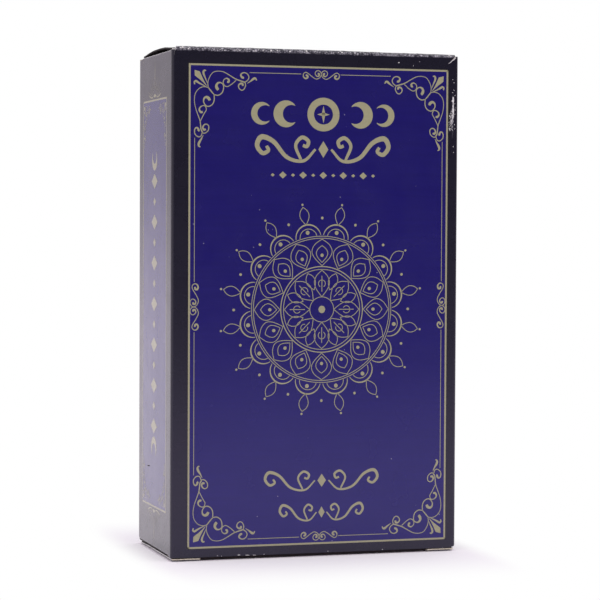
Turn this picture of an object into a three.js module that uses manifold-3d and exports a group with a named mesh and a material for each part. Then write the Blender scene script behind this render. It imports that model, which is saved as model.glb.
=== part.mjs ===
// A boxed deck of seventy-eight tall fortune cards: a reverse-tuck folding carton around the stacked cards.
//
// Millimetres, +Z up. The origin is the centre of the carton's foot and the front panel faces -Y. The top lid is
// hinged on the front panel and tucks in at the back, the bottom lid is hinged on the back panel and tucks in at
// the front, and the cards stand on their short edges.
import * as THREE from "three";
import { mergeVertices } from "three/addons/utils/BufferGeometryUtils.js";
import Module from "manifold-3d";

const wasm = await Module();
wasm.setup();

// Driving dimensions: the cards
const cardWidth = 70;
const cardHeight = 120;
const cardThickness = 0.35;
const cardAirGap = 0.03;
const cardCornerRadius = 4;
const majorCards = 22;
const suits = ["wands", "cups", "swords", "coins"];
const cardsPerSuit = 14;
const cardsPerPair = 2;

// Driving dimensions: the carton board and its folds
const board = 0.45;
const foldInnerRadius = 0.35;
const creaseRadius = 0.6;
const creaseClearance = 0.12;
const creaseEndGap = 0.15;
const layerGap = 0.35;

// Driving dimensions: the air left around the deck
const sideRoom = 1.55;
const footRoom = 0.2;
const headRoom = 2.6;
const tabSwingRoom = 1.12;
const tabGap = 0.4;

// Driving dimensions: the glued seam
const glueFlapWidth = 12;
const glueFlapTaper = THREE.MathUtils.degToRad(15);
const glueFlapEndRoom = 1.5;
const glueGap = 0.1;
const seamInset = 0.5;

// Driving dimensions: lids, tuck tabs and dust flaps
const lidSideInset = 0.4;
const lidTuckInset = 0.2;
const slitLength = 7;
const slitGap = 0.3;
const tabHeight = 14;
const tabSideRoom = 1;
const tabCornerRadius = 7;
const tabShoulderDrop = 0.4;
const dustFlapLength = 21;
const dustFlapTuckRoom = 2.2;
const dustFlapHingeRoom = 0.3;
const dustFlapTaper = THREE.MathUtils.degToRad(20);
const dustFlapChamfer = 6;
const dustFlapTipRadius = 2.5;

// Facets of a quarter fold, of a card corner and of a whole crease bead
const foldFacets = 4;
const cornerFacets = 4;
const beadFacets = 16;

// The deck's thickness sets the carton's depth, the card sets its width and height
const minorCards = suits.length * cardsPerSuit;
const cardPitch = cardThickness + cardAirGap;
const deckThickness = (majorCards + minorCards) * cardPitch - cardAirGap;
const innerWidth = cardWidth + 2 * sideRoom;
const tabRoom = tabGap + board + tabSwingRoom;
const seamThickness = board + glueGap;
const innerDepth = 2 * tabRoom + deckThickness + seamThickness;
const innerHeight = footRoom + cardHeight + headRoom;
const outerWidth = innerWidth + 2 * board;
const outerDepth = innerDepth + 2 * board;
const closureThickness = 2 * board + layerGap;
const outerHeight = innerHeight + 2 * closureThickness;
const right = outerWidth / 2;
const back = outerDepth / 2;

// Levels at a closed end, measured inwards (negative) from the lid's outer face
const lidUnderside = -board;
const flapOutside = lidUnderside - layerGap;
const lidAxisLevel = -creaseRadius;
const flapAxisLevel = flapOutside - creaseRadius;

// Places of the creases in plan
const foldOuterRadius = foldInnerRadius + board;
const seatRadius = creaseRadius + creaseClearance;
const lidAxisY = back - creaseRadius;
const flapAxisX = -right + creaseRadius;
const lidHalfWidth = right - lidSideInset;
const tabBeadHalf = lidHalfWidth - slitLength - slitGap;

// Each closed end is drawn hinged at +Y, tucked in at -Y and looking up, and is then turned into its place.
// tabFace is where the tuck tab's outer face lies, behind the bare front panel or the seam of the back panel.
const closedEnds = {
  top: { turn: new THREE.Euler(0, 0, Math.PI), level: outerHeight, tabFace: -back + board + seamThickness + tabGap },
  bottom: { turn: new THREE.Euler(0, Math.PI, 0), level: 0, tabFace: -back + board + tabGap },
};

const printedBoard = { color: 0x1d1c2c, roughness: 0.32, metalness: 0 };
const cardStock = { color: 0xe9e4d8, roughness: 0.55, metalness: 0 };

// A closed geometry as a solid that can be joined and cut
function solidOf(geometry) {
  const bare = geometry.clone();
  bare.deleteAttribute("normal");
  bare.deleteAttribute("uv");
  const merged = mergeVertices(bare, 1e-4);
  return new wasm.Manifold(
    new wasm.Mesh({
      numProp: 3,
      vertProperties: new Float32Array(merged.attributes.position.array),
      triVerts: new Uint32Array(merged.index.array),
    }),
  );
}

// A joined or cut solid as a geometry that can be drawn
function geometryOf(solid) {
  const made = solid.getMesh();
  const geometry = new THREE.BufferGeometry();
  geometry.setAttribute("position", new THREE.BufferAttribute(made.vertProperties, 3));
  geometry.setIndex(new THREE.BufferAttribute(made.triVerts, 1));
  geometry.computeVertexNormals();
  return geometry;
}

function piece(name, geometry, finish) {
  const mesh = new THREE.Mesh(geometry, new THREE.MeshStandardMaterial(finish));
  mesh.name = name;
  return mesh;
}

function extrude(shape, depth, curveSegments) {
  return new THREE.ExtrudeGeometry(shape, { depth, curveSegments, bevelEnabled: false });
}

// A flat sheet of board cut to a plan outline, with its outer face at the given level
function sheet(shape, outerFace) {
  return extrude(shape, board, cornerFacets).translate(0, 0, outerFace - board);
}

// A round rod along X or Y, centred on the given point: a crease bead, or the seat cut for one
function rodAlongX(radius, length, y, z) {
  const rod = new THREE.CylinderGeometry(radius, radius, length, beadFacets);
  return rod.rotateZ(Math.PI / 2).translate(0, y, z);
}

function rodAlongY(radius, front, rear, x, z) {
  const rod = new THREE.CylinderGeometry(radius, radius, rear - front, beadFacets);
  return rod.translate(x, (front + rear) / 2, z);
}

function block(low, high) {
  const size = new THREE.Vector3().subVectors(high, low);
  const middle = new THREE.Vector3().addVectors(low, high).multiplyScalar(0.5);
  return new THREE.BoxGeometry(size.x, size.y, size.z).translate(middle.x, middle.y, middle.z);
}

// A polygon with some of its corners rounded: each corner is [x, y] or [x, y, radius]
function roundedPolygon(corners) {
  const shape = new THREE.Shape();
  const count = corners.length;
  corners.forEach(([x, y, radius = 0], i) => {
    const here = new THREE.Vector2(x, y);
    const [beforeX, beforeY] = corners[(i + count - 1) % count];
    const [afterX, afterY] = corners[(i + 1) % count];
    const toBefore = new THREE.Vector2(beforeX, beforeY).sub(here).normalize();
    const toAfter = new THREE.Vector2(afterX, afterY).sub(here).normalize();
    const halfTurn = Math.acos(toBefore.dot(toAfter)) / 2;
    const start = here.clone().addScaledVector(toBefore, radius / Math.tan(halfTurn));
    if (i === 0) shape.moveTo(start.x, start.y);
    else shape.lineTo(start.x, start.y);
    if (radius > 0) {
      const toCentre = toBefore.clone().add(toAfter).normalize();
      const centre = here.clone().addScaledVector(toCentre, radius / Math.sin(halfTurn));
      const end = here.clone().addScaledVector(toAfter, radius / Math.tan(halfTurn));
      const from = start.sub(centre).angle();
      const to = end.sub(centre).angle();
      const clockwise = toBefore.cross(toAfter) > 0;
      shape.absarc(centre.x, centre.y, radius, from, to, clockwise);
    }
  });
  shape.closePath();
  return shape;
}

// The sleeve's plan: one strip of board wound from the glue flap round right, front, left and back
function sleevePlan() {
  const outer = foldOuterRadius;
  const inner = foldInnerRadius;
  const glueFace = back - board - glueGap;
  const quarter = Math.PI / 2;
  const plan = new THREE.Shape();
  plan.moveTo(right - seamInset, back);
  plan.absarc(-right + outer, back - outer, outer, quarter, 2 * quarter, false);
  plan.absarc(-right + outer, -back + outer, outer, 2 * quarter, 3 * quarter, false);
  plan.absarc(right - outer, -back + outer, outer, 3 * quarter, 4 * quarter, false);
  plan.absarc(right - outer, glueFace - outer, outer, 0, quarter, false);
  plan.lineTo(right - glueFlapWidth, glueFace);
  plan.lineTo(right - glueFlapWidth, glueFace - board);
  plan.absarc(right - outer, glueFace - outer, inner, quarter, 0, true);
  plan.absarc(right - outer, -back + outer, inner, 4 * quarter, 3 * quarter, true);
  plan.absarc(-right + outer, -back + outer, inner, 3 * quarter, 2 * quarter, true);
  plan.absarc(-right + outer, back - outer, inner, 2 * quarter, quarter, true);
  plan.lineTo(right - seamInset, back - board);
  plan.closePath();
  return plan;
}

// What the die cuts away at a closed end: the side panels and the hinged panel stop at their creases
function creaseCuts() {
  const beyond = outerHeight / 2;
  const tuckFold = -back + foldOuterRadius;
  const hingeFold = back - foldOuterRadius;
  const foldStart = right - foldOuterRadius;
  const cuts = [];
  for (const side of [-1, 1]) {
    const innerFace = side * (right - board - creaseClearance);
    const outside = side * (right + board);
    const sideLow = new THREE.Vector3(Math.min(innerFace, outside), tuckFold, flapAxisLevel);
    const sideHigh = new THREE.Vector3(Math.max(innerFace, outside), back + board, beyond);
    cuts.push(block(sideLow, sideHigh));
    cuts.push(rodAlongY(seatRadius, tuckFold, back + board, side * flapAxisX, flapAxisLevel));
    const foldLow = new THREE.Vector3(Math.min(side * foldStart, outside), hingeFold, flapAxisLevel);
    const foldHigh = new THREE.Vector3(Math.max(side * foldStart, outside), back + board, beyond);
    cuts.push(block(foldLow, foldHigh));
  }
  const hingeLow = new THREE.Vector3(-foldStart, hingeFold, lidAxisLevel);
  const hingeHigh = new THREE.Vector3(foldStart, back + board, beyond);
  cuts.push(block(hingeLow, hingeHigh));
  cuts.push(rodAlongX(seatRadius, 2 * foldStart, lidAxisY, lidAxisLevel));
  return cuts;
}

// What the die cuts away at an end of the glue flap: a taper, deepest at the flap's free edge
function glueFlapCut(level, inwards) {
  const root = right - board;
  const free = right - glueFlapWidth;
  const rootDepth = glueFlapEndRoom - flapAxisLevel;
  const freeDepth = rootDepth + (root - free) * Math.tan(glueFlapTaper);
  const taper = roundedPolygon([
    [free - board, level - inwards * board],
    [free - board, level + inwards * freeDepth],
    [free, level + inwards * freeDepth],
    [root, level + inwards * rootDepth],
    [root, level - inwards * board],
  ]);
  const seamFace = back - board - glueGap / 2;
  return extrude(taper, board + glueGap, 1).rotateX(Math.PI / 2).translate(0, seamFace, 0);
}

function cartonSleeve() {
  const endRoom = board + layerGap;
  const panelHeight = outerHeight - 2 * endRoom;
  let sleeve = solidOf(extrude(sleevePlan(), panelHeight, foldFacets).translate(0, 0, endRoom));
  for (const { turn, level } of Object.values(closedEnds)) {
    const place = new THREE.Matrix4().makeRotationFromEuler(turn).setPosition(0, 0, level);
    for (const cut of creaseCuts()) sleeve = sleeve.subtract(solidOf(cut.applyMatrix4(place)));
  }
  sleeve = sleeve.subtract(solidOf(glueFlapCut(outerHeight, -1)));
  sleeve = sleeve.subtract(solidOf(glueFlapCut(0, 1)));
  return piece("carton_sleeve", geometryOf(sleeve), printedBoard);
}

// A lid: a bead on its hinge crease, a flat panel, and a seat for the tuck tab's bead between two slit ends
function lid(name, tabFace) {
  const tuckEdge = -back + lidTuckInset;
  const tabAxisY = tabFace + creaseRadius;
  const slitEnd = lidHalfWidth - slitLength;
  const corner = lidTuckInset + lidSideInset;
  const plan = roundedPolygon([
    [-lidHalfWidth, lidAxisY],
    [-lidHalfWidth, tuckEdge, corner],
    [-slitEnd, tuckEdge],
    [-slitEnd, tabAxisY],
    [slitEnd, tabAxisY],
    [slitEnd, tuckEdge],
    [lidHalfWidth, tuckEdge, corner],
    [lidHalfWidth, lidAxisY],
  ]);
  const beadLength = outerWidth - 2 * (foldOuterRadius + creaseEndGap);
  const panel = solidOf(sheet(plan, 0));
  const seat = solidOf(rodAlongX(seatRadius, 2 * slitEnd, tabAxisY, lidAxisLevel));
  const bead = solidOf(rodAlongX(creaseRadius, beadLength, lidAxisY, lidAxisLevel));
  return piece(name, geometryOf(panel.subtract(seat).add(bead)), printedBoard);
}

// A tuck tab: a bead on the lid's tuck crease, shoulders under the slits, and round lower corners
function tuckTab(name, tabFace) {
  const halfWidth = innerWidth / 2 - tabSideRoom;
  const shoulder = lidAxisLevel - tabShoulderDrop;
  const foot = lidAxisLevel - tabHeight;
  const outline = roundedPolygon([
    [tabBeadHalf, lidAxisLevel],
    [-tabBeadHalf, lidAxisLevel],
    [-tabBeadHalf, shoulder],
    [-halfWidth, shoulder],
    [-halfWidth, foot, tabCornerRadius],
    [halfWidth, foot, tabCornerRadius],
    [halfWidth, shoulder],
    [tabBeadHalf, shoulder],
  ]);
  const leaf = extrude(outline, board, cornerFacets).rotateX(Math.PI / 2).translate(0, tabFace + board, 0);
  const bead = rodAlongX(creaseRadius, 2 * tabBeadHalf, tabFace + creaseRadius, lidAxisLevel);
  return piece(name, geometryOf(solidOf(leaf).add(solidOf(bead))), printedBoard);
}

// A dust flap on the side panel at -X: a bead on its crease and a tapered leaf with a chamfered tuck corner
function dustFlap(name, tabFace) {
  const tip = -right + dustFlapLength;
  const tuckEdge = tabFace + board + dustFlapTuckRoom;
  const hingeEdge = lidAxisY - creaseRadius - dustFlapHingeRoom;
  const hingeTip = hingeEdge - (tip - flapAxisX) * Math.tan(dustFlapTaper);
  const plan = roundedPolygon([
    [flapAxisX, hingeEdge],
    [flapAxisX, tuckEdge],
    [tip - dustFlapChamfer, tuckEdge, dustFlapTipRadius],
    [tip, tuckEdge + dustFlapChamfer, dustFlapTipRadius],
    [tip, hingeTip, dustFlapTipRadius],
  ]);
  const beadStart = -back + foldOuterRadius + creaseEndGap;
  const leaf = solidOf(sheet(plan, flapOutside));
  const bead = solidOf(rodAlongY(creaseRadius, beadStart, hingeEdge, flapAxisX, flapAxisLevel));
  return piece(name, geometryOf(leaf.add(bead)), printedBoard);
}

// The lid, tab and flaps of one end. Both ends are turned half round, which puts the flap at -X on the right.
function closure(end) {
  const { turn, level, tabFace } = closedEnds[end];
  const rightFlap = dustFlap(`${end}_right_dust_flap`, tabFace);
  const leftFlap = dustFlap(`${end}_left_dust_flap`, tabFace);
  leftFlap.scale.x = -1;
  const group = new THREE.Group();
  group.add(lid(`${end}_lid`, tabFace), tuckTab(`${end}_tuck_tab`, tabFace), leftFlap, rightFlap);
  group.rotation.copy(turn);
  group.position.z = level;
  return group;
}

// Cards as one slab with round corners: one card, or a pair that lies face to face
function cards(name, thickness) {
  const halfWidth = cardWidth / 2;
  const outline = roundedPolygon([
    [-halfWidth, 0, cardCornerRadius],
    [halfWidth, 0, cardCornerRadius],
    [halfWidth, cardHeight, cardCornerRadius],
    [-halfWidth, cardHeight, cardCornerRadius],
  ]);
  return piece(name, extrude(outline, thickness, cornerFacets), cardStock);
}

// The deck, from the front card to the back one: the major cards singly, then each suit in pairs
function deck() {
  const group = new THREE.Group();
  let face = -back + board + tabRoom;
  const stack = (slab, thickness) => {
    slab.rotation.x = Math.PI / 2;
    slab.position.y = face + thickness;
    group.add(slab);
    face += thickness + cardAirGap;
  };
  for (let i = 1; i <= majorCards; i += 1) {
    const number = String(i).padStart(2, "0");
    stack(cards(`major_card_${number}`, cardThickness), cardThickness);
  }
  const pairThickness = cardsPerPair * cardPitch - cardAirGap;
  for (const suit of suits) {
    for (let i = 1; i <= cardsPerSuit / cardsPerPair; i += 1) {
      stack(cards(`${suit}_pair_${i}`, pairThickness), pairThickness);
    }
  }
  group.position.z = closureThickness + footRoom;
  return group;
}

const boxedDeck = new THREE.Group();
boxedDeck.add(cartonSleeve(), closure("top"), closure("bottom"), deck());

export default boxedDeck;
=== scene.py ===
# %% [markdown]
# # A deck of fortune cards in its printed tuck box
# The real object is a die-cut sheet of glossy printed board, wound into a sleeve and closed by a lid
# with a tuck tab at each end, with a stack of tall cards inside. The solids from the CAD model are
# loaded first: they fix every size and every hinge. All the pieces made below stand in the same frame,
# so nothing has to be fitted by eye.

# %% Load the frame
import math
import random

import bpy
import numpy as np
from mathutils import Matrix, Vector


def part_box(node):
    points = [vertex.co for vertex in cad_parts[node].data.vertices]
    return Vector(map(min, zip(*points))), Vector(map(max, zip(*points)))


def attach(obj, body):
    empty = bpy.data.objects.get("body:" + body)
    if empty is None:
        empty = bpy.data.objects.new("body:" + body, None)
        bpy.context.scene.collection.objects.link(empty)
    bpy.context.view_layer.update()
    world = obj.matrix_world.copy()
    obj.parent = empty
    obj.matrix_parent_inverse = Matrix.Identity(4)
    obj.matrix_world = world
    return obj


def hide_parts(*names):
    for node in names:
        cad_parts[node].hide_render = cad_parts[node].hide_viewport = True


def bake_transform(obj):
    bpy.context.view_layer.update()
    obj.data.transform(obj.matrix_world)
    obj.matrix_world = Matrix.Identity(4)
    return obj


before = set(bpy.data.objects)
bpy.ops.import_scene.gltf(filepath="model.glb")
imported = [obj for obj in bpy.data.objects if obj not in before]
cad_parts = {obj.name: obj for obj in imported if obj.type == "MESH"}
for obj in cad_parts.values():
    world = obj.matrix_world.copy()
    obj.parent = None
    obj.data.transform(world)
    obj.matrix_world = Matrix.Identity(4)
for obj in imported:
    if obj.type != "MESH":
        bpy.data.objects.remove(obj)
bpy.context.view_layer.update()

for starter in ("Cube", "Light", "Camera"):
    if starter in bpy.data.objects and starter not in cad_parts:
        bpy.data.objects.remove(bpy.data.objects[starter])
bpy.context.scene.view_settings.view_transform = "Standard"

# %% [markdown]
# ## Sizes
# The carton's sizes repeat those of the CAD model, in millimetres, because board and folds are easier
# to think of that way. Only the function that makes a mesh turns them into metres. The four panels get
# their own flat coordinates, u to the right and v upwards as seen from outside, so that print can be
# laid out as on the flat blank.

# %% The carton in millimetres
MM = 0.001
HALF_WIDTH, HALF_DEPTH, HEIGHT = 37.0, 17.5, 125.3
BOARD = 0.45
FOLD_RADIUS = 0.8
CREASE_RADIUS = 0.6
GLUE_FACE = HALF_DEPTH - BOARD - 0.1
PANELS = {  # middle in plan, direction of u, outward normal, half width
    "back": ((0, HALF_DEPTH), (-1, 0), (0, 1), HALF_WIDTH),
    "left": ((-HALF_WIDTH, 0), (0, -1), (-1, 0), HALF_DEPTH),
    "front": ((0, -HALF_DEPTH), (1, 0), (0, -1), HALF_WIDTH),
    "right": ((HALF_WIDTH, 0), (0, 1), (1, 0), HALF_DEPTH),
}
BELLY, RIPPLE = 0.13, 0.045
SHORT_WAVES, LONG_WAVES, LONG_SHARE = (9.5, 14.0), (40.0, 31.0), 0.6
RIPPLE_PHASE = {"back": 1.1, "left": 2.3, "front": 0.4, "right": 3.0}


def panel_wave(panel, u, v):
    """How far the board bows out of its flat plane at a place: a faint belly and slow ripples."""
    half, phase = PANELS[panel][3], RIPPLE_PHASE[panel]
    across = np.clip(1 - (u / half) ** 2, 0, 1)
    along = np.clip(1 - ((v - HEIGHT / 2) / (HEIGHT / 2)) ** 4, 0, 1)
    short = np.sin(u / SHORT_WAVES[0] + phase) * np.sin(v / SHORT_WAVES[1] + 2 * phase)
    long = np.sin(v / LONG_WAVES[1] + u / LONG_WAVES[0] + phase)
    return across * along * (BELLY + RIPPLE * (short + LONG_SHARE * long))


def on_panel(panel, u, v, lift=0.0):
    """The point in the frame, in mm, of a place on a panel's printed face."""
    (ox, oy), (rx, ry), (nx, ny), _ = PANELS[panel]
    out = lift + panel_wave(panel, u, v)
    return np.stack([ox + rx * u + nx * out, oy + ry * u + ny * out, v + 0 * u], axis=-1)


print("front panel:", 2 * HALF_WIDTH, "x", HEIGHT, "mm, side panel:", 2 * HALF_DEPTH, "mm deep")

# %% [markdown]
# ## Shared effects of the print
# The blank was printed, coated with a clear gloss film, cut and creased. Two effects turn up on every
# printed face. The film is never optically flat: it has a slight orange peel and faint streaks across
# the press direction, and dust sits in it. Where the board folds, the film stretches and breaks, and
# the white core shows. Both are node groups, so each ink can use them with its own strength. Groups
# give only colours, masks and heights: the shader itself stays in the material, where the export can
# read it.

# %% Helpers for colours and node trees


def ink_colour(r, g, b):
    """An 8-bit display colour as the linear colour that a shader wants."""
    display = (r / 255, g / 255, b / 255)
    linear = [c / 12.92 if c <= 0.04045 else ((c + 0.055) / 1.055) ** 2.4 for c in display]
    return (*linear, 1.0)


def add_node(tree, kind, sockets=None, **settings):
    """A new node: its settings first, then its inputs, by name or number, each linked or set."""
    node = tree.nodes.new(kind)
    for setting, value in settings.items():
        setattr(node, setting, value)
    for label, value in (sockets or {}).items():
        if hasattr(value, "is_linked"):
            tree.links.new(value, node.inputs[label])
        else:
            node.inputs[label].default_value = value
    return node


def add_inputs(tree, inputs):
    """Named inputs on a node group's interface: {name: (type, default)}."""
    for label, (kind, default) in inputs.items():
        socket = tree.interface.new_socket(label, in_out="INPUT", socket_type=kind)
        if default is not None:
            socket.default_value = default


def new_group(name, inputs, outputs):
    """An empty shader group with named inputs, and outputs as {name: type}."""
    tree = bpy.data.node_groups.new(name, "ShaderNodeTree")
    add_inputs(tree, inputs)
    for label, kind in outputs.items():
        tree.interface.new_socket(label, in_out="OUTPUT", socket_type=kind)
    return tree, tree.nodes.new("NodeGroupInput").outputs, tree.nodes.new("NodeGroupOutput").inputs


print("display grey 128 is", round(ink_colour(128, 128, 128)[0], 4), "as a linear value")

# %% Helpers for single shader nodes
MIX_A, MIX_B, MIX_RESULT = 6, 7, 2  # places of the colour sockets on a Mix node


def math_node(tree, operation, *values, clamp=False):
    """A Math node with each input linked or set."""
    node = add_node(tree, "ShaderNodeMath", dict(enumerate(values)), operation=operation, use_clamp=clamp)
    return node.outputs[0]


def about_zero(tree, noise):
    """A noise value moved so that it swings about zero."""
    return math_node(tree, "SUBTRACT", noise, 0.5)


def noise_node(tree, vector, scale, detail=2.0, stretch=(1, 1, 1), roughness=0.5):
    """A Noise texture on a stretched copy of a vector."""
    mapping = add_node(tree, "ShaderNodeMapping", {"Vector": vector, "Scale": stretch})
    sockets = {"Vector": mapping.outputs[0], "Scale": scale, "Detail": detail, "Roughness": roughness}
    return add_node(tree, "ShaderNodeTexNoise", sockets).outputs["Fac"]


def ramp_between(tree, value, low, high):
    """A value rescaled so that low becomes 0 and high becomes 1, held between them."""
    sockets = {"Value": value, "From Min": low, "From Max": high}
    return add_node(tree, "ShaderNodeMapRange", sockets).outputs["Result"]


def mix_colours(tree, factor, a, b):
    """A Mix node on two colours, each linked or set."""
    sockets = {"Factor": factor, MIX_A: a, MIX_B: b}
    return add_node(tree, "ShaderNodeMix", sockets, data_type="RGBA").outputs[MIX_RESULT]


print("node helpers:", [helper.__name__ for helper in (math_node, noise_node, ramp_between, mix_colours)])

# %% The clear film: streaks, orange peel and dust
STREAK_SCALE, STREAK_STRETCH = 55.0, (1, 1, 22)
BLOTCH_SCALE, MOTTLE_SCALE, PEEL_SCALE = 160.0, 2600.0, 900.0
MOTTLE_TONE, BLOTCH_GLOSS = 0.22, 0.16
STREAK_HEIGHT, PEEL_HEIGHT = 0.35, 0.5
SPECK_SCALE, SPECK_SIZE = 330.0, 0.055
SPECK_PATCH_SCALE, SPECK_PATCH_FROM = 95.0, 0.56
DUST_COVER, DUST_MATT, DUST_COLOUR = 0.5, 0.5, ink_colour(176, 172, 178)
film, film_in, film_out = new_group(
    "clear_film",
    {
        "Place": ("NodeSocketVector", None),
        "Ink": ("NodeSocketColor", (0.1, 0.1, 0.1, 1)),
        "Streaks": ("NodeSocketFloat", 0.15),
        "Dust": ("NodeSocketFloat", 1.0),
        "Gloss": ("NodeSocketFloat", 0.25),
    },
    {"Colour": "NodeSocketColor", "Roughness": "NodeSocketFloat", "Height": "NodeSocketFloat"},
)
place = film_in["Place"]
streak = noise_node(film, place, STREAK_SCALE, 3.0, STREAK_STRETCH)
mottle = noise_node(film, place, MOTTLE_SCALE)
tone = math_node(film, "MULTIPLY_ADD", about_zero(film, streak), film_in["Streaks"], 1.0)
tone = math_node(film, "MULTIPLY_ADD", about_zero(film, mottle), MOTTLE_TONE, tone)
scaled = add_node(film, "ShaderNodeVectorMath", {0: film_in["Ink"], "Scale": tone}, operation="SCALE")
specks = add_node(film, "ShaderNodeTexVoronoi", {"Vector": place, "Scale": SPECK_SCALE})
speck_size = math_node(film, "MULTIPLY", film_in["Dust"], SPECK_SIZE)
speck = math_node(film, "LESS_THAN", specks.outputs["Distance"], speck_size)
sparse = math_node(film, "GREATER_THAN", noise_node(film, place, SPECK_PATCH_SCALE, 1.0), SPECK_PATCH_FROM)
dust = math_node(film, "MULTIPLY", math_node(film, "MULTIPLY", speck, sparse), DUST_COVER)
film.links.new(mix_colours(film, dust, scaled.outputs[0], DUST_COLOUR), film_out["Colour"])
blotch = about_zero(film, noise_node(film, place, BLOTCH_SCALE))
matt = math_node(film, "MULTIPLY_ADD", blotch, BLOTCH_GLOSS, film_in["Gloss"])
film.links.new(math_node(film, "MULTIPLY_ADD", dust, DUST_MATT, matt, clamp=True), film_out["Roughness"])
peel = math_node(film, "MULTIPLY", noise_node(film, place, PEEL_SCALE), PEEL_HEIGHT)
film.links.new(math_node(film, "MULTIPLY_ADD", streak, STREAK_HEIGHT, peel), film_out["Height"])
print("film group nodes:", len(film.nodes))

# %% The broken film on folds and cut edges, which also paints glints in a crackle patch
PATCH_SCALE, CHIP_SCALE, NETWORK_SCALE = 120.0, 800.0, 1900.0
CHIP_SHARE, PATCH_SHARE, WEAR_BASE = 2.2, 0.6, -0.35
CRACK_LINE, CELL_SHARE, CELL_BASE = (0.08, 0.2), 0.92, 0.08
GRAIN_WHITENED, GRAIN_CRACKED = 0.5, 1.1
WHITENED_RANGE, CRACKED_RANGE = (0.25, 0.95), (0.9, 1.02)
wear, wear_in, wear_out = new_group(
    "fold_wear",
    {
        "Place": ("NodeSocketVector", None),
        "Worn": ("NodeSocketFloat", 0.0),
        "Grain": ("NodeSocketFloat", 2000.0),
    },
    {"Whitened": "NodeSocketFloat", "Cracked": "NodeSocketFloat"},
)
spot = wear_in["Place"]
grain_sockets = {"Vector": spot, "Scale": wear_in["Grain"], "Detail": 4.0, "Roughness": 0.65}
grain = about_zero(wear, add_node(wear, "ShaderNodeTexNoise", grain_sockets).outputs["Fac"])
patches = math_node(wear, "MULTIPLY_ADD", noise_node(wear, spot, PATCH_SCALE), PATCH_SHARE, WEAR_BASE)
chips = noise_node(wear, spot, CHIP_SCALE, 3.0)
network_sockets = {"Vector": spot, "Scale": NETWORK_SCALE}
network = add_node(wear, "ShaderNodeTexVoronoi", network_sockets, feature="DISTANCE_TO_EDGE")
cells = ramp_between(wear, network.outputs["Distance"], *CRACK_LINE)
uneven = math_node(wear, "MULTIPLY_ADD", chips, CHIP_SHARE, patches)
strength = math_node(wear, "MULTIPLY", wear_in["Worn"], uneven)
grained = math_node(wear, "MULTIPLY_ADD", grain, GRAIN_WHITENED, strength)
whitened = ramp_between(wear, grained, *WHITENED_RANGE)
held = math_node(wear, "MULTIPLY_ADD", cells, CELL_SHARE, CELL_BASE)
wear.links.new(math_node(wear, "MULTIPLY", whitened, held), wear_out["Whitened"])
broken = math_node(wear, "MULTIPLY_ADD", grain, GRAIN_CRACKED, strength)
cracked = ramp_between(wear, broken, *CRACKED_RANGE)
wear.links.new(math_node(wear, "MULTIPLY", cracked, cells), wear_out["Cracked"])
print("wear group nodes:", len(wear.nodes))

# %% [markdown]
# ## Materials
# Four finishes make the carton: near-black border ink and deep blue panel ink under the film, the pale
# grey inside of the board, and its cream cut edge. A dark matt board finish is painted shade, put in the
# gaps, bends and undersides where shade falls, and it also colours one dark scuff. Bare core, also used
# for painted glints on the front's right edge, and the khaki-gold ink of the ornament come on top. A mesh
# attribute says where the board is folded or rubbed, and where glints are painted. The border and the
# blue are separate materials on separate faces rather than one painted texture, so the line between them
# stays sharp at any distance.

# %% Helpers for materials
INK_PEEL, FINE_PEEL, FIBRE_RELIEF = 0.00002, 0.00001, 0.00003  # bump heights in metres


def new_material(name):
    """A material with its Principled shader and an Object coordinate, ready to be linked."""
    material = bpy.data.materials.new(name)
    material.use_nodes = True
    tree = material.node_tree
    shader = tree.nodes["Principled BSDF"]
    coordinate = tree.nodes.new("ShaderNodeTexCoord").outputs["Object"]
    return material, tree, shader, coordinate


def bump(tree, shader, height, distance):
    """A Bump node of a height in metres on the shader's normal."""
    node = add_node(tree, "ShaderNodeBump", {"Height": height, "Distance": distance, "Strength": 1.0})
    tree.links.new(node.outputs["Normal"], shader.inputs["Normal"])


def glossy_film(shader):
    """The constant values of clear film over ink: a weak mirror, strong at a grazing angle."""
    shader.inputs["IOR"].default_value = 1.4
    shader.inputs["Coat Weight"].default_value = 0.6
    shader.inputs["Coat IOR"].default_value = 1.35
    shader.inputs["Coat Roughness"].default_value = 0.2


print("relief of film, fine ink and fibre (m):", INK_PEEL, FINE_PEEL, FIBRE_RELIEF)

# %% Printed board
# Whitened ink and bare core on worn folds, and also painted glints in the crackle patch near the front's
# right edge
WHITENED_AND_GLINT_INK, BARE_CORE_AND_GLINT = ink_colour(176, 172, 182), ink_colour(226, 222, 220)
BORDER_INK, BLUE_INK = ink_colour(25, 23, 37), ink_colour(23, 15, 98)


def filmed(tree, coordinate, **values):
    """The clear film's group, fed with the coordinate and with this material's own values."""
    return add_node(tree, "ShaderNodeGroup", {"Place": coordinate, **values}, node_tree=film).outputs


def printed_board(name, ink, gloss):
    """Ink under clear film, whitened and cracked where the board is worn and where glints are painted."""
    material, tree, shader, coordinate = new_material(name)
    coat = filmed(tree, coordinate, Ink=ink, Streaks=0.3, Gloss=gloss, Dust=0.8)
    wear_and_glint = add_node(tree, "ShaderNodeAttribute", attribute_name="wear_and_glint").outputs["Fac"]
    fold = add_node(tree, "ShaderNodeGroup", node_tree=wear)
    tree.links.new(coordinate, fold.inputs["Place"])
    tree.links.new(wear_and_glint, fold.inputs["Worn"])
    pale = mix_colours(tree, fold.outputs["Whitened"], coat["Colour"], WHITENED_AND_GLINT_INK)
    core = mix_colours(tree, fold.outputs["Cracked"], pale, BARE_CORE_AND_GLINT)
    tree.links.new(core, shader.inputs["Base Color"])
    rough = math_node(tree, "MULTIPLY_ADD", fold.outputs["Whitened"], 0.3, coat["Roughness"], clamp=True)
    tree.links.new(rough, shader.inputs["Roughness"])
    glossy_film(shader)
    bump(tree, shader, coat["Height"], INK_PEEL)
    return material


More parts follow.
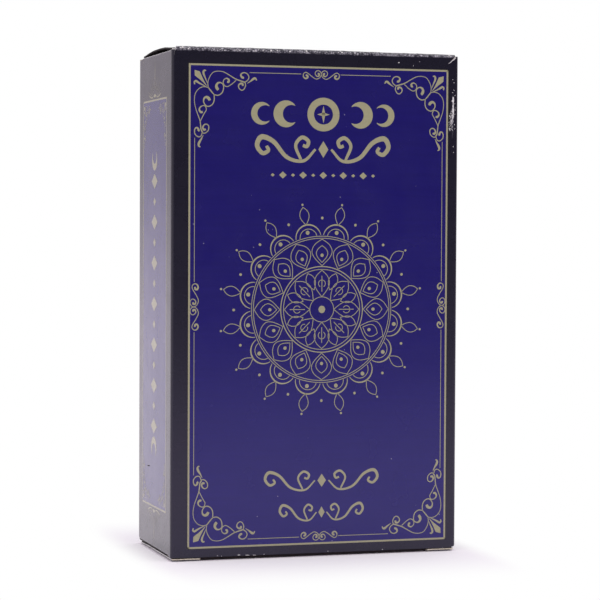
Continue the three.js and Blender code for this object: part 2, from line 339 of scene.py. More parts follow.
border_print = printed_board("border_print", BORDER_INK, 0.27)
blue_print = printed_board("blue_print", BLUE_INK, 0.25)
print("printed boards:", border_print.name, blue_print.name)

# %% Bare board, cut edges and gold ink
GOLD = ink_colour(155, 151, 120)
FIBRE_TONES, FIBRE_MATT = (0.35, 0.65), 0.2


def bare_board(name, light, dark, grain_scale, roughness):
    """Uncoated board: fibres seen as two tones, matt."""
    material, tree, shader, coordinate = new_material(name)
    fibre = noise_node(tree, coordinate, grain_scale, 4.0, roughness=0.6)
    share = ramp_between(tree, fibre, *FIBRE_TONES)
    tone = mix_colours(tree, share, ink_colour(*dark), ink_colour(*light))
    tree.links.new(tone, shader.inputs["Base Color"])
    matt = math_node(tree, "MULTIPLY_ADD", fibre, FIBRE_MATT, roughness)
    tree.links.new(matt, shader.inputs["Roughness"])
    shader.inputs["Specular IOR Level"].default_value = 0.2
    bump(tree, shader, fibre, FIBRE_RELIEF)
    return material


def link_film(tree, shader, coat):
    """The film's colour, gloss and fine relief on a shader."""
    tree.links.new(coat["Colour"], shader.inputs["Base Color"])
    tree.links.new(coat["Roughness"], shader.inputs["Roughness"])
    bump(tree, shader, coat["Height"], FINE_PEEL)


inside_board = bare_board("inside_board", (196, 192, 186), (170, 166, 160), 1500.0, 0.6)
cut_edge = bare_board("cut_edge", (226, 217, 200), (178, 168, 152), 2200.0, 0.7)
# Painted shade: a dark matt board finish for gaps, bends and undersides where shade falls; also one dark
# scuff
shade_and_scuff_board = bare_board("shade_and_scuff_board", (40, 32, 31), (22, 17, 18), 2200.0, 0.6)
# Bare white core of cut and rubbed board, also used for painted glints among the flecks near the front's
# right edge
core_white_and_glints = bare_board("core_white_and_glints", (232, 229, 228), (190, 186, 190), 2600.0, 0.65)
gold_ink, gold_tree, gold_shader, gold_place = new_material("gold_ink")
gold_film = filmed(gold_tree, gold_place, Ink=GOLD, Streaks=0.15, Gloss=0.3, Dust=0.0)
link_film(gold_tree, gold_shader, gold_film)
glossy_film(gold_shader)
finishes = (inside_board, cut_edge, shade_and_scuff_board, core_white_and_glints, gold_ink)
print("bare and inked finishes:", [material.name for material in finishes])

# %% [markdown]
# ## From flat grid to folded board
# Every part of the carton is a piece of the same board. A grid of points on the printed face and a
# second one a board's thickness below it give both faces, and a rim joins them along the cut edge.
# Solidify could do the same, but then the rim and the inside could not get their own finishes and the
# folds their true inner radius.

# %% A mesh from points in millimetres
SLOTS = (border_print, blue_print, inside_board, cut_edge, shade_and_scuff_board, core_white_and_glints)
BORDER, BLUE, INSIDE, CUT, PAINTED_SHADE, CORE = range(len(SLOTS))
SHARP_ANGLE = math.radians(40.0)


def new_piece(name, vertices, faces, slots, wear_and_glint=None):
    """A board mesh at the origin, with points in mm, a slot per face and a wear value per point."""
    mesh = bpy.data.meshes.new(name)
    mesh.from_pydata((np.asarray(vertices) * MM).tolist(), [], faces)
    for material in SLOTS:
        mesh.materials.append(material)
    mesh.polygons.foreach_set("material_index", np.asarray(slots, dtype=np.int32))
    mesh.polygons.foreach_set("use_smooth", np.ones(len(faces), dtype=bool))
    if wear_and_glint is not None:
        attribute = mesh.attributes.new("wear_and_glint", "FLOAT", "POINT")
        attribute.data.foreach_set("value", np.asarray(wear_and_glint, dtype=np.float32))
    mesh.update()
    mesh.set_sharp_from_angle(angle=SHARP_ANGLE)
    piece = bpy.data.objects.new(name, mesh)
    bpy.context.scene.collection.objects.link(piece)
    return piece


def signed_volume(vertices, faces):
    """Positive where a closed mesh of quads has its faces outwards."""
    v = np.asarray(vertices)
    f = np.asarray(faces)
    first = np.einsum("ij,ij->i", v[f[:, 0]], np.cross(v[f[:, 1]], v[f[:, 2]]))
    second = np.einsum("ij,ij->i", v[f[:, 0]], np.cross(v[f[:, 2]], v[f[:, 3]]))
    return (first + second).sum() / 6


print("finishes of a board mesh:", [material.name for material in SLOTS])

# %% A sheet of board between two grids


def rim_of(rows, columns):
    """The grid places along the rim of a sheet, once round."""
    ring = [(0, c) for c in range(columns)] + [(r, columns - 1) for r in range(1, rows)]
    ring += [(rows - 1, c) for c in range(columns - 2, -1, -1)]
    return ring + [(r, 0) for r in range(rows - 2, 0, -1)]


def board_sheet(name, printed, under, slot_of=None, wear_and_glint=None, rim_slot=None, under_slot=None):
    """A closed sheet from the grid of its printed face and the grid under it, rows by columns."""
    rows, columns = printed.shape[:2]

    def at(r, c, layer):
        """The number of a point of the printed face (layer 0) or of the face under it (layer 1)."""
        return (layer * rows + r) * columns + c

    faces, slots = [], []
    for r in range(rows - 1):
        for c in range(columns - 1):
            faces.append((at(r, c, 0), at(r, c + 1, 0), at(r + 1, c + 1, 0), at(r + 1, c, 0)))
            slots.append(BORDER if slot_of is None else slot_of(r, c))
            faces.append((at(r, c, 1), at(r + 1, c, 1), at(r + 1, c + 1, 1), at(r, c + 1, 1)))
            slots.append(INSIDE if under_slot is None else under_slot(r, c))
    ring = rim_of(rows, columns)
    for here, there in zip(ring, ring[1:] + ring[:1]):
        faces.append((at(*here, 0), at(*here, 1), at(*there, 1), at(*there, 0)))
        slots.append(CUT if rim_slot is None else rim_slot(here, there))
    vertices = np.concatenate([printed.reshape(-1, 3), under.reshape(-1, 3)])
    if signed_volume(vertices, faces) < 0:
        faces = [face[::-1] for face in faces]
    values = None if wear_and_glint is None else np.concatenate([wear_and_glint.reshape(-1), wear_and_glint.reshape(-1)])
    return new_piece(name, vertices, faces, slots, values)


print("rim of a sheet of 3 x 4 points:", rim_of(3, 4))

# %% [markdown]
# ## The wound sleeve
# Four panels and a glue flap follow each other round four folds. The columns of the grid walk that path
# in plan, with a true bend at each fold. The rows go from the bottom cut to the top cut, whose heights
# change along the way: where a lid or a flap is hinged, the sleeve stops a little short of the crease,
# and the hinged sheet takes over. Rows and columns are placed on the frame lines of the print, so the
# blue faces end exactly there.

# %% Where the print changes
FRONT_FRAME, FRONT_LINE = (-32.84, 34.23, 3.03, 121.17), 0.45
SIDE_FRAME, SIDE_LINE = (-12.6, 12.5, 11.3, 113.25), 0.42
FRAMES = {
    "front": (FRONT_FRAME, FRONT_LINE),
    "back": (FRONT_FRAME, FRONT_LINE),
    "left": (SIDE_FRAME, SIDE_LINE),
    "right": (SIDE_FRAME, SIDE_LINE),
}


def blue_edges(panel):
    """The rectangle where the blue ink starts, in the middle of the gold frame line."""
    (u0, u1, v0, v1), line = FRAMES[panel]
    return u0 + line / 2, u1 - line / 2, v0 + line / 2, v1 - line / 2


print("blue on the front:", blue_edges("front"), "and on the left:", blue_edges("left"))

# %% Where the sleeve is cut, as (place along the panel, height), and where crackle and painted glints lie
TOP_CUT = {
    "back": [(-36.5, 123.7), (-33.5, 124.5), (33.2, 124.3), (36.2, 123.85)],
    "left": [
        (-16.7, 123.9), (-13.6, 124.25), (-13.45, 122.4),
        (16.0, 122.4), (16.15, 124.45), (16.7, 124.45),
    ],
    "front": [
        (-36.2, 124.3), (-36.15, 124.2), (-36.0, 123.2),
        (34.75, 123.2), (35.5, 123.85), (36.2, 124.6),
    ],
    "right": [
        (-16.7, 124.6), (-16.15, 124.3), (-16.0, 122.4),
        (13.45, 122.4), (13.6, 123.9), (16.15, 123.6),
    ],
}
BOTTOM_CUT = {
    "back": [(-36.5, 1.5), (-36.15, 1.4), (-36.0, 2.1), (36.0, 2.1), (36.15, 1.4), (36.2, 1.6)],
    "left": [
        (-16.7, 1.9), (-16.15, 1.4), (-16.0, 2.9),
        (14.0, 2.9), (14.15, 1.4), (15.5, 1.05), (16.7, 0.9),
    ],
    "front": [(-36.2, 0.9), (-30.0, 0.86), (34.9, 0.84), (35.7, 0.92), (36.2, 1.05)],
    "right": [(-16.7, 1.6), (-14.15, 1.5), (-14.0, 2.9), (15.9, 2.9), (16.1, 1.5), (16.15, 1.5)],
}
# A patch of crackle near the front's right edge, whitened by the wear shading, with painted glints in it
CRACKLE_GLINT_COLUMNS = (34.3, 34.65, 35.0, 35.3, 35.55, 35.75, 36.0)
CRACKLE_GLINT_CENTRE, CRACKLE_GLINT_STRENGTH = (35.55, 109.8), 0.8
CRACKLE_GLINT_SPREAD = {"left": 0.4, "right": 0.25, "along": 4.8}


def panel_columns(panel, start, stop, spacing):
    """The u values of a panel's columns: even steps, the blue's edges and the corners of its cuts."""
    fixed = list(blue_edges(panel)[:2]) + [u for u, _ in TOP_CUT[panel] + BOTTOM_CUT[panel]]
    fixed += list(CRACKLE_GLINT_COLUMNS) if panel == "front" else []
    values = {round(u, 4) for u in fixed if start <= u <= stop} | {start, stop}
    for u in np.linspace(start, stop, int((stop - start) / spacing) + 1):
        if min(abs(u - f) for f in values) > 0.35 * spacing:
            values.add(round(float(u), 4))
    return sorted(values)


print("columns of a side panel:", panel_columns("left", -16.7, 16.7, 3.5))

# %% Walk the sleeve's path in plan
BACK_START, BACK_STEP, PANEL_STEP, FOLD_STEPS = -36.5, 4.0, 3.5, 7
GLUE_REACH, GLUE_TAPER, GLUE_LOW, GLUE_HIGH = 11.2, math.tan(math.radians(15)), 3.0, 122.3
path = []  # (point on the printed face in plan, outward normal, panel, u, low cut, high cut)


def cut_height(cuts, u):
    """The height of a cut at a place along a panel."""
    return float(np.interp(u, [p[0] for p in cuts], [p[1] for p in cuts]))


def walk_panel(panel, start, stop, spacing):
    """Adds the columns of a flat panel to the path."""
    (ox, oy), (rx, ry), normal, _ = PANELS[panel]
    for u in panel_columns(panel, start, stop, spacing):
        low, high = cut_height(BOTTOM_CUT[panel], u), cut_height(TOP_CUT[panel], u)
        path.append(((ox + rx * u, oy + ry * u), normal, panel, u, low, high))


def walk_fold(centre, first_angle, lows, highs):
    """Adds the columns of a quarter turn, with cuts that go from one height to another."""
    for step in range(1, FOLD_STEPS):
        angle = math.radians(first_angle + 90 * step / FOLD_STEPS)
        share = step / FOLD_STEPS
        normal = (math.cos(angle), math.sin(angle))
        point = (centre[0] + FOLD_RADIUS * normal[0], centre[1] + FOLD_RADIUS * normal[1])
        low, high = (a + (b - a) * share for a, b in (lows, highs))
        path.append((point, normal, None, share, low, high))


fold_x, fold_y = HALF_WIDTH - FOLD_RADIUS, HALF_DEPTH - FOLD_RADIUS
glue_fold_y = GLUE_FACE - FOLD_RADIUS
walk_panel("back", BACK_START, fold_x, BACK_STEP)
walk_fold((-fold_x, fold_y), 90, (1.6, 1.9), (124.2, 124.3))
walk_panel("left", -fold_y, fold_y, PANEL_STEP)
walk_fold((-fold_x, -fold_y), 180, (0.9, 0.9), (124.45, 124.3))
walk_panel("front", -fold_x, fold_x, PANEL_STEP)
walk_fold((fold_x, -fold_y), 270, (1.0, 1.6), (124.6, 124.6))
walk_panel("right", -fold_y, glue_fold_y, PANEL_STEP)
walk_fold((fold_x, glue_fold_y), 0, (1.5, GLUE_LOW), (123.6, GLUE_HIGH))
for reach in np.linspace(0, GLUE_REACH, 6):
    taper = reach * GLUE_TAPER
    glue_point = (fold_x - reach, GLUE_FACE)
    path.append((glue_point, (0, 1), "glue", reach, GLUE_LOW + taper, GLUE_HIGH - taper))
print("columns along the sleeve's path:", len(path))

# %% Make the sleeve's sheet
ROW_SPAN, ROW_COUNT, ROW_GAP, ROW_SQUEEZE = (4.5, 120.0), 34, 1.0, 0.02
CUT_RUB = 0.35
FOLD_WEAR, BOTTOM_WEAR, TOP_WEAR = 0.16, 0.15, 0.5
OPEN_BOTTOM, OPEN_TOP = 2, 123.3  # a cut beyond these heights is a free edge, not a crease
levels = {round(v, 4) for panel in PANELS for v in blue_edges(panel)[2:]}
for v in np.linspace(*ROW_SPAN, ROW_COUNT):
    if min(abs(v - f) for f in levels) > ROW_GAP:
        levels.add(round(float(v), 4))
levels = [0.0, CUT_RUB] + sorted(levels) + [HEIGHT - CUT_RUB, HEIGHT]
rows, columns = len(levels), len(path)
squeeze = ROW_SQUEEZE * np.arange(rows)
printed = np.zeros((rows, columns, 3))
under = np.zeros((rows, columns, 3))
wear_and_glint = np.zeros((rows, columns))
for c, ((x, y), (nx, ny), panel, u, low, high) in enumerate(path):
    v = np.clip(levels, low + squeeze, high - squeeze[::-1])
    v[0], v[1], v[-2], v[-1] = low, low + CUT_RUB, high - CUT_RUB, high
    out = panel_wave(panel, u, v) if panel in PANELS else np.zeros(rows)
    printed[:, c] = np.stack([x + nx * out, y + ny * out, v], axis=-1)
    under[:, c] = np.stack([x + nx * (out - BOARD), y + ny * (out - BOARD), v], axis=-1)
    wear_and_glint[:, c] = FOLD_WEAR if panel is None else 0.0
    # Crackle with painted glints, in a patch near the front's right edge
    if panel == "front" and u > CRACKLE_GLINT_COLUMNS[0] - 0.01:
        across = (u - CRACKLE_GLINT_CENTRE[0]) / CRACKLE_GLINT_SPREAD["left" if u < CRACKLE_GLINT_CENTRE[0] else "right"]
        along = (v - CRACKLE_GLINT_CENTRE[1]) / CRACKLE_GLINT_SPREAD["along"]
        wear_and_glint[:, c] = CRACKLE_GLINT_STRENGTH * np.exp(-(across**2) - along**2)
    wear_and_glint[0, c] = BOTTOM_WEAR if low < OPEN_BOTTOM else 0.0
    wear_and_glint[-1, c] = TOP_WEAR if high > OPEN_TOP else 0.0


def sleeve_slot(r, c):
    """Blue inside the panel's blue rectangle, bare on the glue flap, border elsewhere."""
    panel = path[c][2] or path[c + 1][2]
    if panel == "glue":
        return INSIDE
    if path[c][2] is None or path[c + 1][2] is None:
        return BORDER
    u0, u1, v0, v1 = blue_edges(panel)
    u, v = (path[c][3] + path[c + 1][3]) / 2, (levels[r] + levels[r + 1]) / 2
    return BLUE if u0 < u < u1 and v0 < v < v1 else BORDER


sleeve = board_sheet("printed_sleeve", printed, under, sleeve_slot, wear_and_glint)
print("sleeve grid:", rows, "x", columns, "faces:", len(sleeve.data.polygons))

# %% [markdown]
# ## The two closures
# Each end has a lid with a tuck tab and two dust flaps. On this carton the top lid hangs on the front
# panel and tucks in at the back, and the bottom one is the other way round. Each sheet starts just
# before its crease, on the part that carries it, and bends through the crease. One description in a
# local frame (the hinge at +y, the lid's face at z = 0) serves both ends.

# %% Placing a closure at an end
TAB_FACE = {"top": -16.1, "bottom": -16.65}
HINGE_Y, HINGE_Z = 16.9, -0.6
FLAP_X, FLAP_Z = 36.4, -1.4
SLIT_INNER = 29.6
LID_HALF, HINGE_HALF = 36.6, 36.05
SEAM = 1.5
CREASE_STEPS = 7


def at_end(end, points):
    """Local closure points in mm put in place at the top or the bottom of the carton."""
    p = np.asarray(points, dtype=float)
    if end == "top":
        return np.stack([-p[..., 0], -p[..., 1], HEIGHT + p[..., 2]], axis=-1)
    return np.stack([-p[..., 0], p[..., 1], -p[..., 2]], axis=-1)


def in_metres(end, *point):
    """A local closure point in mm as a point of the frame in metres."""
    return tuple(at_end(end, point) * MM)


def arc_rows(centre, first, last):
    """Points and outward normals along a crease, as (a, b, normal a, normal b), angles in degrees."""
    made = []
    for angle in np.radians(np.linspace(first, last, CREASE_STEPS)):
        na, nb = math.cos(angle), math.sin(angle)
        made.append((centre[0] + CREASE_RADIUS * na, centre[1] + CREASE_RADIUS * nb, na, nb))
    return made


print("hinge axes (m):", {end: in_metres(end, 0, HINGE_Y, HINGE_Z) for end in ("top", "bottom")})

# %% How the lids have bowed and settled
TOP_SETTLE = 0.27
BOTTOM_LIFT, LIFT_ACROSS, LIFT_ALONG = -0.2, (20, 32), (0.03, 0.3)
TOP_BOW = ((-LID_HALF, 10, LID_HALF), (0.02, 0.3, 0.4))
ARCH_FROM = 24
LEFT_SLANT, RIGHT_SLANT = ((-0.6, 0.9), (35.85, 36.5)), 0.85
LID_END_RISE = (
    (0.0, -0.3), (0.05, -0.3), (0.14, -0.11), (0.29, 0.31), (0.43, 0.43),
    (0.57, 0.44), (0.71, 0.4), (0.86, 0.11), (1.0, -0.3),
)


def lid_crown(end, x, y):
    """How far the lid bows: the top's left end is arched between its creases, the bottom's ends lift."""
    stop = TAB_FACE[end] + CREASE_RADIUS + SEAM + 0.1
    share = np.clip((HINGE_Y - y) / (HINGE_Y - stop), 0, 1)
    if end == "bottom":
        return BOTTOM_LIFT * np.interp(abs(x), LIFT_ACROSS, (0, 1)) * np.interp(share, LIFT_ALONG, (0, 1))
    bow = np.sin(math.pi * share ** 0.75) ** 1.2
    arch = np.interp(share, *zip(*LID_END_RISE))
    near_end = np.interp(x, (ARCH_FROM, LID_HALF), (0, 1))
    return np.interp(x, *TOP_BOW) * bow * (1 - near_end) + arch * near_end


def settle(end, x):
    """How far the top lid's crease has sunk towards the carton's right end."""
    return float(np.interp(-x, (0, LID_HALF), (0, TOP_SETTLE))) if end == "top" else 0.0


def crease_half(end, x, drop):
    """Half the width of the lid's crease at a height below its axis: the top one's ends are slanted."""
    if end == "bottom":
        return HINGE_HALF
    if x > 0:
        return float(np.interp(drop, *LEFT_SLANT))
    return HINGE_HALF - RIGHT_SLANT * max(drop, 0.0)


print("top lid's bow in the middle:", round(float(lid_crown("top", 0, 0)), 3), "mm")

# %% The rows of a lid
EDGE_ROLL = 0.18
SEAM_DROPS = (SEAM, 1.1, 0.8, 0.55, 0.3)
FLAT_SHARES = [0.015, 0.035] + list(np.linspace(0.08, 0.96, 14)) + [0.985, 1.0]
WIDEN_SHARE = 0.035
RAGGED_EDGE, RAGGED_DROP, SAG_FADE = 0.03, 0.5, (-0.6, 0.5)
CREASE_WEAR = ((-0.6, -0.2, 0.1, 0.3, 0.5, 0.8), (0.66, 0.74, 0.82, 0.6, 0.25, 0.0))
END_WEAR = {"top": 0.05, "bottom": 0.35}
CORNER_CUTS = {"top": (3.6, 1.9, 0.7), "bottom": (0.4, 0.1, 0.0)}
END_COLUMNS = [-LID_HALF, -36.35, -35.8, -33.5, -31, -SLIT_INNER, -SLIT_INNER + 0.15]
LID_COLUMNS = END_COLUMNS + list(np.linspace(-28.6, 28.6, 53)) + [-x for x in reversed(END_COLUMNS)]


def beyond_slit(x):
    """True for a column of the lid's ends, outside the slits beside the tab."""
    return abs(x) > SLIT_INNER - 0.05


def crease_rows(end):
    """The rows from the carrying panel round the crease: printed points, points under them, wear."""
    ragged = random.Random(5 if end == "top" else 6)
    profile = [(HALF_DEPTH, HINGE_Z - drop, 1, 0) for drop in SEAM_DROPS]
    profile += arc_rows((HINGE_Y, HINGE_Z), 0, 90)
    faces, unders, marks = [], [], []
    for y, z, ny, nz in profile:
        drop = HINGE_Z - z
        narrow = [x / LID_HALF * crease_half(end, x, drop) for x in LID_COLUMNS]
        bumps = [ragged.gauss(0, RAGGED_EDGE) if drop < RAGGED_DROP else 0.0 for _ in LID_COLUMNS]
        sags = [settle(end, x) * float(np.interp(drop, SAG_FADE, (1, 0))) for x in narrow]
        faces.append([(x, y + b * ny, z + b * nz - sag) for x, b, sag in zip(narrow, bumps, sags)])
        unders.append([(x, y - BOARD * ny, z - BOARD * nz - sag) for x, sag in zip(narrow, sags)])
        marks.append([float(np.interp(drop, *CREASE_WEAR))] * len(LID_COLUMNS))
    return faces, unders, marks


def flat_rows(end):
    """The rows of the lid's flat part, from the crease to the tab's crease and to the slit ends."""
    middle_stop, slit_stop = TAB_FACE[end] + CREASE_RADIUS + SEAM, -HALF_DEPTH + 0.2
    stops = [slit_stop if beyond_slit(x) else middle_stop for x in LID_COLUMNS]
    for column, cut in enumerate(CORNER_CUTS[end]):
        stops[column], stops[-1 - column] = slit_stop + cut, slit_stop + cut
    faces, unders, marks = [], [], []
    for f in FLAT_SHARES:
        line = [(x, HINGE_Y + f * (stop - HINGE_Y)) for x, stop in zip(LID_COLUMNS, stops)]
        widen = min(1.0, f / WIDEN_SHARE)
        half = [crease_half(end, x, HINGE_Z) * (1 - widen) + LID_HALF * widen for x in LID_COLUMNS]
        crown = [float(lid_crown(end, x, y)) - settle(end, x) * (1 - f) for x, y in line]
        free = [abs(x) == LID_HALF or (f == 1.0 and beyond_slit(x)) for x in LID_COLUMNS]
        rolled = [EDGE_ROLL if edge else 0.0 for edge in free]
        faces.append([(x * h / LID_HALF, y, z - d) for (x, y), z, h, d in zip(line, crown, half, rolled)])
        unders.append([(x * h / LID_HALF, y, z - BOARD) for (x, y), z, h in zip(line, crown, half)])
        across = 0.3 if f >= FLAT_SHARES[-2] else 0.5 if f == FLAT_SHARES[0] else 0.0
        marks.append([END_WEAR[end] if abs(x) > 36.5 else across for x in LID_COLUMNS])
    return faces, unders, marks


print("lid columns:", len(LID_COLUMNS), "flat rows:", len(FLAT_SHARES))

# %% Lids
# Beyond this distance from the middle, the underside of the lid's ends gets painted shade
PAINTED_SHADE_FROM = 33.4


def make_lid(end):
    """The lid's sheet, from the panel that carries it to the tab's crease, with its two slit ends."""
    crease = crease_rows(end)
    faces, unders, marks = (first + second for first, second in zip(crease, flat_rows(end)))
    hinge_rows = len(crease[0])
    last_row, last_column = len(faces) - 2, len(LID_COLUMNS) - 2

    def rim_slot(here, there):
        """White core at the top hinge's ends, painted shade after it; white ends and a cream slit at the
        bottom.
        """
        if end == "top":
            return PAINTED_SHADE if here[0] > hinge_rows else CORE
        return CORE if here[1] == there[1] else CUT

    def face_slot(r, c):
        """Painted shade on the free ends' rolled print and the bottom's slit edges, which lie in shade."""
        slit_edge = r == last_row and abs(LID_COLUMNS[c]) > SLIT_INNER - 0.2
        open_end = r >= hinge_rows and c in (0, last_column)
        return PAINTED_SHADE if open_end or (end == "bottom" and slit_edge) else BORDER

    def under_slot(r, c):
        """Painted shade under the lid's ends, which lie in shade in the gap beside the side panels."""
        middle = (LID_COLUMNS[c] + LID_COLUMNS[c + 1]) / 2
        return PAINTED_SHADE if r > hinge_rows and abs(middle) > PAINTED_SHADE_FROM else INSIDE

    grids = (at_end(end, faces), at_end(end, unders))
    piece = board_sheet(f"{end}_lid_sheet", *grids, face_slot, np.array(marks), rim_slot, under_slot)
    start, stop = in_metres(end, 0, HALF_DEPTH, -0.9), in_metres(end, 0, 16.6, 0.0)
    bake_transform(piece)
    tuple(start)
    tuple(stop)
    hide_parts(f"{end}_lid")
    return piece


lids = [make_lid(end) for end in ("top", "bottom")]
print("lids:", [(piece.name, len(piece.data.polygons)) for piece in lids])

# %% Tuck tabs
TAB_CREASE_HALF, TAB_LEAF_HALF = 29.3, 35.55
TAB_REACH, TAB_CORNER, TAB_LEAN, TAB_WEAR = 14.0, 7.0, 0.15, 0.3
TAB_CORNER_DROPS = [TAB_REACH - TAB_CORNER * (1 - math.sin(a)) for a in np.radians(np.linspace(12, 90, 9))]
TAB_DROPS = list(np.linspace(1.5, TAB_REACH - TAB_CORNER, 4)) + TAB_CORNER_DROPS


def make_tab(end):
    """The tuck tab's sheet, from the lid over its crease and down inside the far panel."""
    face = TAB_FACE[end]
    axis = face + CREASE_RADIUS
    profile = [(axis + SEAM, 0, 0, 1, TAB_CREASE_HALF), (axis + 0.8, 0, 0, 1, TAB_CREASE_HALF)]
    profile += [(*row, TAB_CREASE_HALF) for row in arc_rows((axis, HINGE_Z), 90, 180)]
    profile += [(face, HINGE_Z - 0.35, -1, 0, TAB_CREASE_HALF)]
    profile += [(face, HINGE_Z - 0.45, -1, 0, TAB_LEAF_HALF)]
    for drop in TAB_DROPS:
        rounding = max(0.0, drop - (TAB_REACH - TAB_CORNER))
        half = TAB_LEAF_HALF - TAB_CORNER + math.sqrt(max(TAB_CORNER**2 - rounding**2, 0.0))
        profile.append((face + TAB_LEAN * drop / TAB_REACH, HINGE_Z - drop, -1, 0, half))
    shares = np.linspace(-1, 1, 21)
    faces, unders, marks = [], [], []
    for r, (y, z, ny, nz, half) in enumerate(profile):
        faces.append([(s * half, y, z) for s in shares])
        unders.append([(s * half, y - BOARD * ny, z - BOARD * nz) for s in shares])
        marks.append([TAB_WEAR if 2 <= r < 9 else 0.0] * len(shares))

    def bend_slot(r, c):
        """Painted shade in the bottom tab's bend, which lies in the carton's own shade."""
        return PAINTED_SHADE if end == "bottom" and 1 <= r < 10 else BORDER

    grids = (at_end(end, faces), at_end(end, unders))
    piece = board_sheet(f"{end}_tuck_sheet", *grids, bend_slot, np.array(marks))
    start, stop = in_metres(end, 0, axis + 0.3, 0), in_metres(end, 0, axis - 0.6, -0.9)
    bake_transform(piece)
    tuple(start)
    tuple(stop)
    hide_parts(f"{end}_tuck_tab")
    return piece


tabs = [make_tab(end) for end in ("top", "bottom")]
print("tuck tabs:", [(piece.name, len(piece.data.polygons)) for piece in tabs])

# %% Dust flaps
FLAP_TIP, FLAP_CHAMFER, TIP_RADIUS = -HALF_WIDTH + 21.0, 6.0, 2.5
FLAP_TAPER = math.tan(math.radians(20))
TIP_PLACES = [FLAP_TIP - TIP_RADIUS * (1 - math.sin(a)) for a in np.radians(np.linspace(18, 90, 6))]
FLAP_PLACES = list(np.linspace(-FLAP_X + 1, FLAP_TIP - TIP_RADIUS, 9)) + TIP_PLACES


def flap_wear(end, r):
    """How worn a flap's row is: the top's bend is rubbed white, the bottom's only along a line."""
    if end == "top":
        return 1.2 if 4 <= r < 9 else 0.0
    return 0.75 if r == 2 else 0.0


def make_flap(end, side):
    """A dust flap's sheet, from its side panel over the crease, tapered, with a chamfered round tip."""
    tuck_edge, hinge_edge = TAB_FACE[end] + BOARD + 2.2, HINGE_Y - CREASE_RADIUS - 0.3
    profile = [(-HALF_WIDTH, FLAP_Z - SEAM, -1, 0), (-HALF_WIDTH, FLAP_Z - 0.6, -1, 0)]
    profile += arc_rows((-FLAP_X, FLAP_Z), 180, 90)
    profile += [(x, FLAP_Z + CREASE_RADIUS, 0, 1) for x in FLAP_PLACES]
    shares = np.linspace(0, 1, 13)
    faces, unders, marks = [], [], []
    for r, (x, z, nx, nz) in enumerate(profile):
        inwards = max(0.0, x + FLAP_X)
        rounding = max(0.0, x - (FLAP_TIP - TIP_RADIUS))
        shrink = TIP_RADIUS - math.sqrt(max(TIP_RADIUS**2 - rounding**2, 0.0))
        low = tuck_edge + max(0.0, x - (FLAP_TIP - FLAP_CHAMFER)) + shrink
        high = hinge_edge - inwards * FLAP_TAPER - shrink
        ys = low + (high - low) * shares
        faces.append([(-side * x, y, z) for y in ys])
        unders.append([(-side * (x - BOARD * nx), y, z - BOARD * nz) for y in ys])
        marks.append([flap_wear(end, r)] * len(ys))

    def bend_slot(r, c):
        """Painted shade in a bottom flap's bend, which lies in the carton's own shade."""
        return PAINTED_SHADE if end == "bottom" and 2 <= r < 9 else BORDER

    name = f"{end}_left" if side > 0 else f"{end}_right"
    grids = (at_end(end, faces), at_end(end, unders))
    piece = board_sheet(f"{name}_flap_sheet", *grids, bend_slot, np.array(marks))
    start = in_metres(end, side * HALF_WIDTH, 0, FLAP_Z - 0.3)
    stop = in_metres(end, side * (FLAP_X - 0.3), 0, FLAP_Z + 0.6)
    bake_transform(piece)
    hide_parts(f"{name}_dust_flap")
    return piece


flaps = [make_flap(end, side) for end in ("top", "bottom") for side in (1, -1)]
print("dust flaps:", [(piece.name, len(piece.data.polygons)) for piece in flaps])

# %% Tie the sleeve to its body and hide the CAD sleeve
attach(sleeve, "carton")
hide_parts("carton_sleeve")

# %% [markdown]
# ## The deck
# 78 cards of one cut stand on their short edge. That is one shape repeated along a line, which is what
# Geometry Nodes are for: a rounded card is drawn once, and instanced on a line of points with a small
# seeded shift for each card, as a stack that was squared up by hand. The faces get a printed back, and
# the cut edges stay white stock.

# %% Card finishes
LATTICE_SCALE, LATTICE_TURN = 260.0, (0, math.radians(45), 0)
LATTICE_DARK, LATTICE_LIGHT = ink_colour(33, 26, 84), ink_colour(46, 38, 104)
card_stock = bare_board("card_stock", (238, 236, 230), (214, 210, 204), 1800.0, 0.5)
card_back, back_tree, back_shader, back_place = new_material("card_back")
turn_sockets = {"Vector": back_place, "Rotation": LATTICE_TURN}
turned = add_node(back_tree, "ShaderNodeMapping", turn_sockets).outputs[0]
lattice_sockets = {
    "Vector": turned, "Scale": LATTICE_SCALE,
    "Color1": LATTICE_DARK, "Color2": LATTICE_LIGHT,
}
lattice = add_node(back_tree, "ShaderNodeTexChecker", lattice_sockets).outputs["Color"]
card_film = filmed(back_tree, back_place, Ink=lattice, Streaks=0.1, Gloss=0.35, Dust=0.0)
link_film(back_tree, back_shader, card_film)
print("card finishes:", card_stock.name, card_back.name)

# %% Helpers for Geometry Nodes


def new_tree(name, inputs):
    """A Geometry Nodes tree with named inputs and a geometry output."""
    tree = bpy.data.node_groups.new(name, "GeometryNodeTree")
    add_inputs(tree, inputs)
    tree.interface.new_socket("Geometry", in_out="OUTPUT", socket_type="NodeSocketGeometry")
    return tree, tree.nodes.new("NodeGroupInput").outputs, tree.nodes.new("NodeGroupOutput").inputs


def run_tree(name, mesh, tree, values):
    """A plain mesh object from a tree: inputs set by identifier, evaluated once, with no modifier left."""
    holder = bpy.data.objects.new(name + "_holder", mesh)
    bpy.context.scene.collection.objects.link(holder)
    modifier = holder.modifiers.new("make", "NODES")
    modifier.node_group = tree
    for item in tree.interface.items_tree:
        if item.in_out == "INPUT" and item.name in values:
            modifier[item.identifier] = values[item.name]
    evaluated = holder.evaluated_get(bpy.context.evaluated_depsgraph_get())
    made = bpy.data.meshes.new_from_object(evaluated)
    bpy.data.objects.remove(holder)
    made.name = name
    piece = bpy.data.objects.new(name, made)
    bpy.context.scene.collection.objects.link(piece)
    return piece


